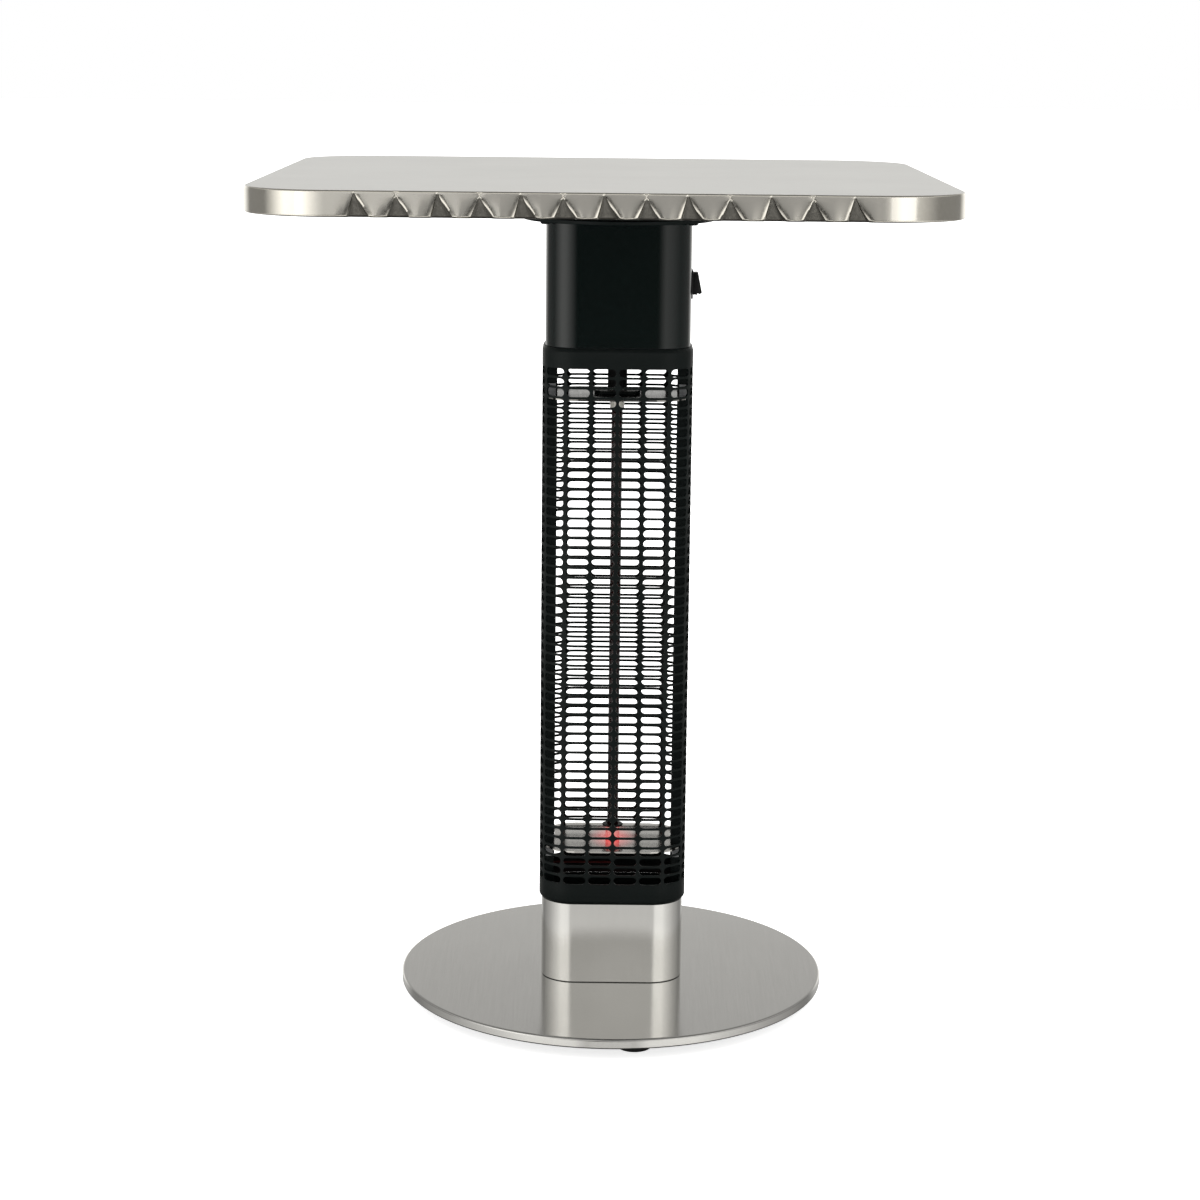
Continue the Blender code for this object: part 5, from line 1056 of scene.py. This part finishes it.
def light_the_room():
    """A white room for the camera and for matt surfaces, and the studio for what shines."""
    world = bpy.data.worlds.new("studio")
    bpy.context.scene.world = world
    world.use_nodes = True
    tree = world.node_tree
    tree.nodes.clear()
    seen = add_node(tree, "ShaderNodeTexCoord")
    axes = add_node(tree, "ShaderNodeSeparateXYZ", {"Vector": seen.outputs["Generated"]})
    front = add_node(tree, "ShaderNodeMath", {0: axes.outputs["Y"], 1: -1.0}, operation="MULTIPLY")
    turn = add_node(tree, "ShaderNodeMath", {0: axes.outputs["X"], 1: front.outputs[0]}, operation="ARCTAN2")
    rise = add_node(tree, "ShaderNodeMath", {0: axes.outputs["Z"]}, operation="ARCSINE")
    zones = None
    for zone in STUDIO:
        sides = []
        for angle, full, steps in ((turn, 180, zone[0]), (rise, 90, zone[1])):
            place = add_node(tree, "ShaderNodeMapRange", {
                "Value": angle.outputs[0], "From Min": -math.radians(full), "From Max": math.radians(full)})
            ramp = add_node(tree, "ShaderNodeValToRGB", {"Fac": place.outputs["Result"]})
            marks = ramp.color_ramp.elements
            marks.remove(marks[1])
            for k, (degrees, strength) in enumerate(steps):
                mark = marks.new(0.5 + degrees / full / 2) if k else marks[0]
                mark.position = 0.5 + degrees / full / 2
                mark.color = [strength / (1 if angle is turn else STUDIO_PEAK)] * 3 + [1]
            sides.append(ramp.outputs["Color"])
        lit = add_node(tree, "ShaderNodeMath", {0: sides[0], 1: sides[1]}, operation="MULTIPLY").outputs[0]
        if zones:
            lit = add_node(tree, "ShaderNodeMath", {0: zones, 1: lit}, operation="MAXIMUM").outputs[0]
        zones = lit
    bright = add_node(tree, "ShaderNodeMath", {0: zones, 1: STUDIO_PEAK}, operation="MULTIPLY")
    studio = add_node(tree, "ShaderNodeBackground", {"Color": linear("FFFEFB"), "Strength": bright.outputs[0]})
    white = add_node(tree, "ShaderNodeBackground", {"Color": linear("FFFFFF"), "Strength": 1.0})
    soft = add_node(tree, "ShaderNodeBackground", {"Color": linear("FFFFFF"), "Strength": SOFT_LIGHT})
    path = add_node(tree, "ShaderNodeLightPath")
    matt = add_node(tree, "ShaderNodeMixShader", {
        "Fac": path.outputs["Is Diffuse Ray"], 1: studio.outputs[0], 2: soft.outputs[0]})
    both = add_node(tree, "ShaderNodeMixShader", {
        "Fac": path.outputs["Is Camera Ray"], 1: matt.outputs[0], 2: white.outputs[0]})
    add_node(tree, "ShaderNodeOutputWorld", {"Surface": both.outputs[0]})


# Operators and panel

class HEATER_OT_finishes(bpy.types.Operator):
    """Mix every material of the heater"""
    bl_idname = "heater.finishes"
    bl_label = "Finishes"
    bl_options = {"REGISTER", "UNDO"}

    def execute(self, context):
        mix_finishes(context.scene.table_heater)
        return {"FINISHED"}


class HEATER_OT_table_top(bpy.types.Operator):
    """Build the pressed stainless table top"""
    bl_idname = "heater.table_top"
    bl_label = "Table top"
    bl_options = {"REGISTER", "UNDO"}

    def execute(self, context):
        build_table_top(context.scene.table_heater.top)
        return {"FINISHED"}


class HEATER_OT_underside(bpy.types.Operator):
    """Build what carries the table top: laminate, spacer, mounting plate and screws"""
    bl_idname = "heater.underside"
    bl_label = "Underside"
    bl_options = {"REGISTER", "UNDO"}

    def execute(self, context):
        build_underside(context.scene.table_heater.top)
        return {"FINISHED"}


class HEATER_OT_guard(bpy.types.Operator):
    """Build the slotted guard round the lamp"""
    bl_idname = "heater.guard"
    bl_label = "Guard"
    bl_options = {"REGISTER", "UNDO"}

    def execute(self, context):
        build_guard(context.scene.table_heater.guard)
        return {"FINISHED"}


class HEATER_OT_column(bpy.types.Operator):
    """Build the black housing, the stainless stub and the side shields between them"""
    bl_idname = "heater.column"
    bl_label = "Column"
    bl_options = {"REGISTER", "UNDO"}

    def execute(self, context):
        build_column(context.scene.table_heater.column)
        build_shields(context.scene.table_heater.guard)
        return {"FINISHED"}


class HEATER_OT_switch(bpy.types.Operator):
    """Build the rocker switch on the housing's side"""
    bl_idname = "heater.switch"
    bl_label = "Switch"
    bl_options = {"REGISTER", "UNDO"}

    def execute(self, context):
        build_switch()
        return {"FINISHED"}


class HEATER_OT_base(bpy.types.Operator):
    """Build the base disc and its rubber feet"""
    bl_idname = "heater.base"
    bl_label = "Base"
    bl_options = {"REGISTER", "UNDO"}

    def execute(self, context):
        build_base()
        return {"FINISHED"}


class HEATER_OT_gland(bpy.types.Operator):
    """Build the cable gland on the stub's back"""
    bl_idname = "heater.gland"
    bl_label = "Cable gland"
    bl_options = {"REGISTER", "UNDO"}

    def execute(self, context):
        build_gland()
        return {"FINISHED"}


class HEATER_OT_lamp(bpy.types.Operator):
    """Build the lamp with its filament, caps, holders, collar and boot"""
    bl_idname = "heater.lamp"
    bl_label = "Lamp"
    bl_options = {"REGISTER", "UNDO"}

    def execute(self, context):
        build_lamp(context.scene.table_heater.lamp)
        return {"FINISHED"}


class HEATER_OT_nodes(bpy.types.Operator):
    """Finish the CAD pieces that are shown as they are"""
    bl_idname = "heater.nodes"
    bl_label = "Other pieces"
    bl_options = {"REGISTER", "UNDO"}

    def execute(self, context):
        finish_nodes()
        return {"FINISHED"}


class HEATER_OT_stage(bpy.types.Operator):
    """Set the floor, the light and the camera"""
    bl_idname = "heater.stage"
    bl_label = "Stage"
    bl_options = {"REGISTER", "UNDO"}

    def execute(self, context):
        build_stage(context.scene.table_heater.stage)
        return {"FINISHED"}


OPERATORS = (HEATER_OT_finishes, HEATER_OT_table_top, HEATER_OT_underside, HEATER_OT_guard, HEATER_OT_column,
             HEATER_OT_switch, HEATER_OT_base, HEATER_OT_gland, HEATER_OT_lamp, HEATER_OT_nodes,
             HEATER_OT_stage)


class HEATER_PT_panel(bpy.types.Panel):
    """Lists the heater's operators"""
    bl_label = "Table heater"
    bl_idname = "HEATER_PT_panel"
    bl_space_type = "VIEW_3D"
    bl_region_type = "UI"
    bl_category = "Heater"

    def draw(self, context):
        for entry in OPERATORS:
            self.layout.operator(entry.bl_idname)


CLASSES = (TableTopSettings, GuardSettings, ColumnSettings, LampSettings, StageSettings, HeaterSettings,
           *OPERATORS, HEATER_PT_panel)


def register():
    """Register the classes and the scene's settings."""
    for entry in CLASSES:
        bpy.utils.register_class(entry)
    bpy.types.Scene.table_heater = bpy.props.PointerProperty(type=HeaterSettings)


def unregister():
    """Take everything back."""
    del bpy.types.Scene.table_heater
    for entry in reversed(CLASSES):
        bpy.utils.unregister_class(entry)


def main():
    """Build the heater."""
    register()
    for entry in OPERATORS:
        getattr(bpy.ops.heater, entry.bl_idname.split(".")[1])()


if __name__ == "__main__":
    main()
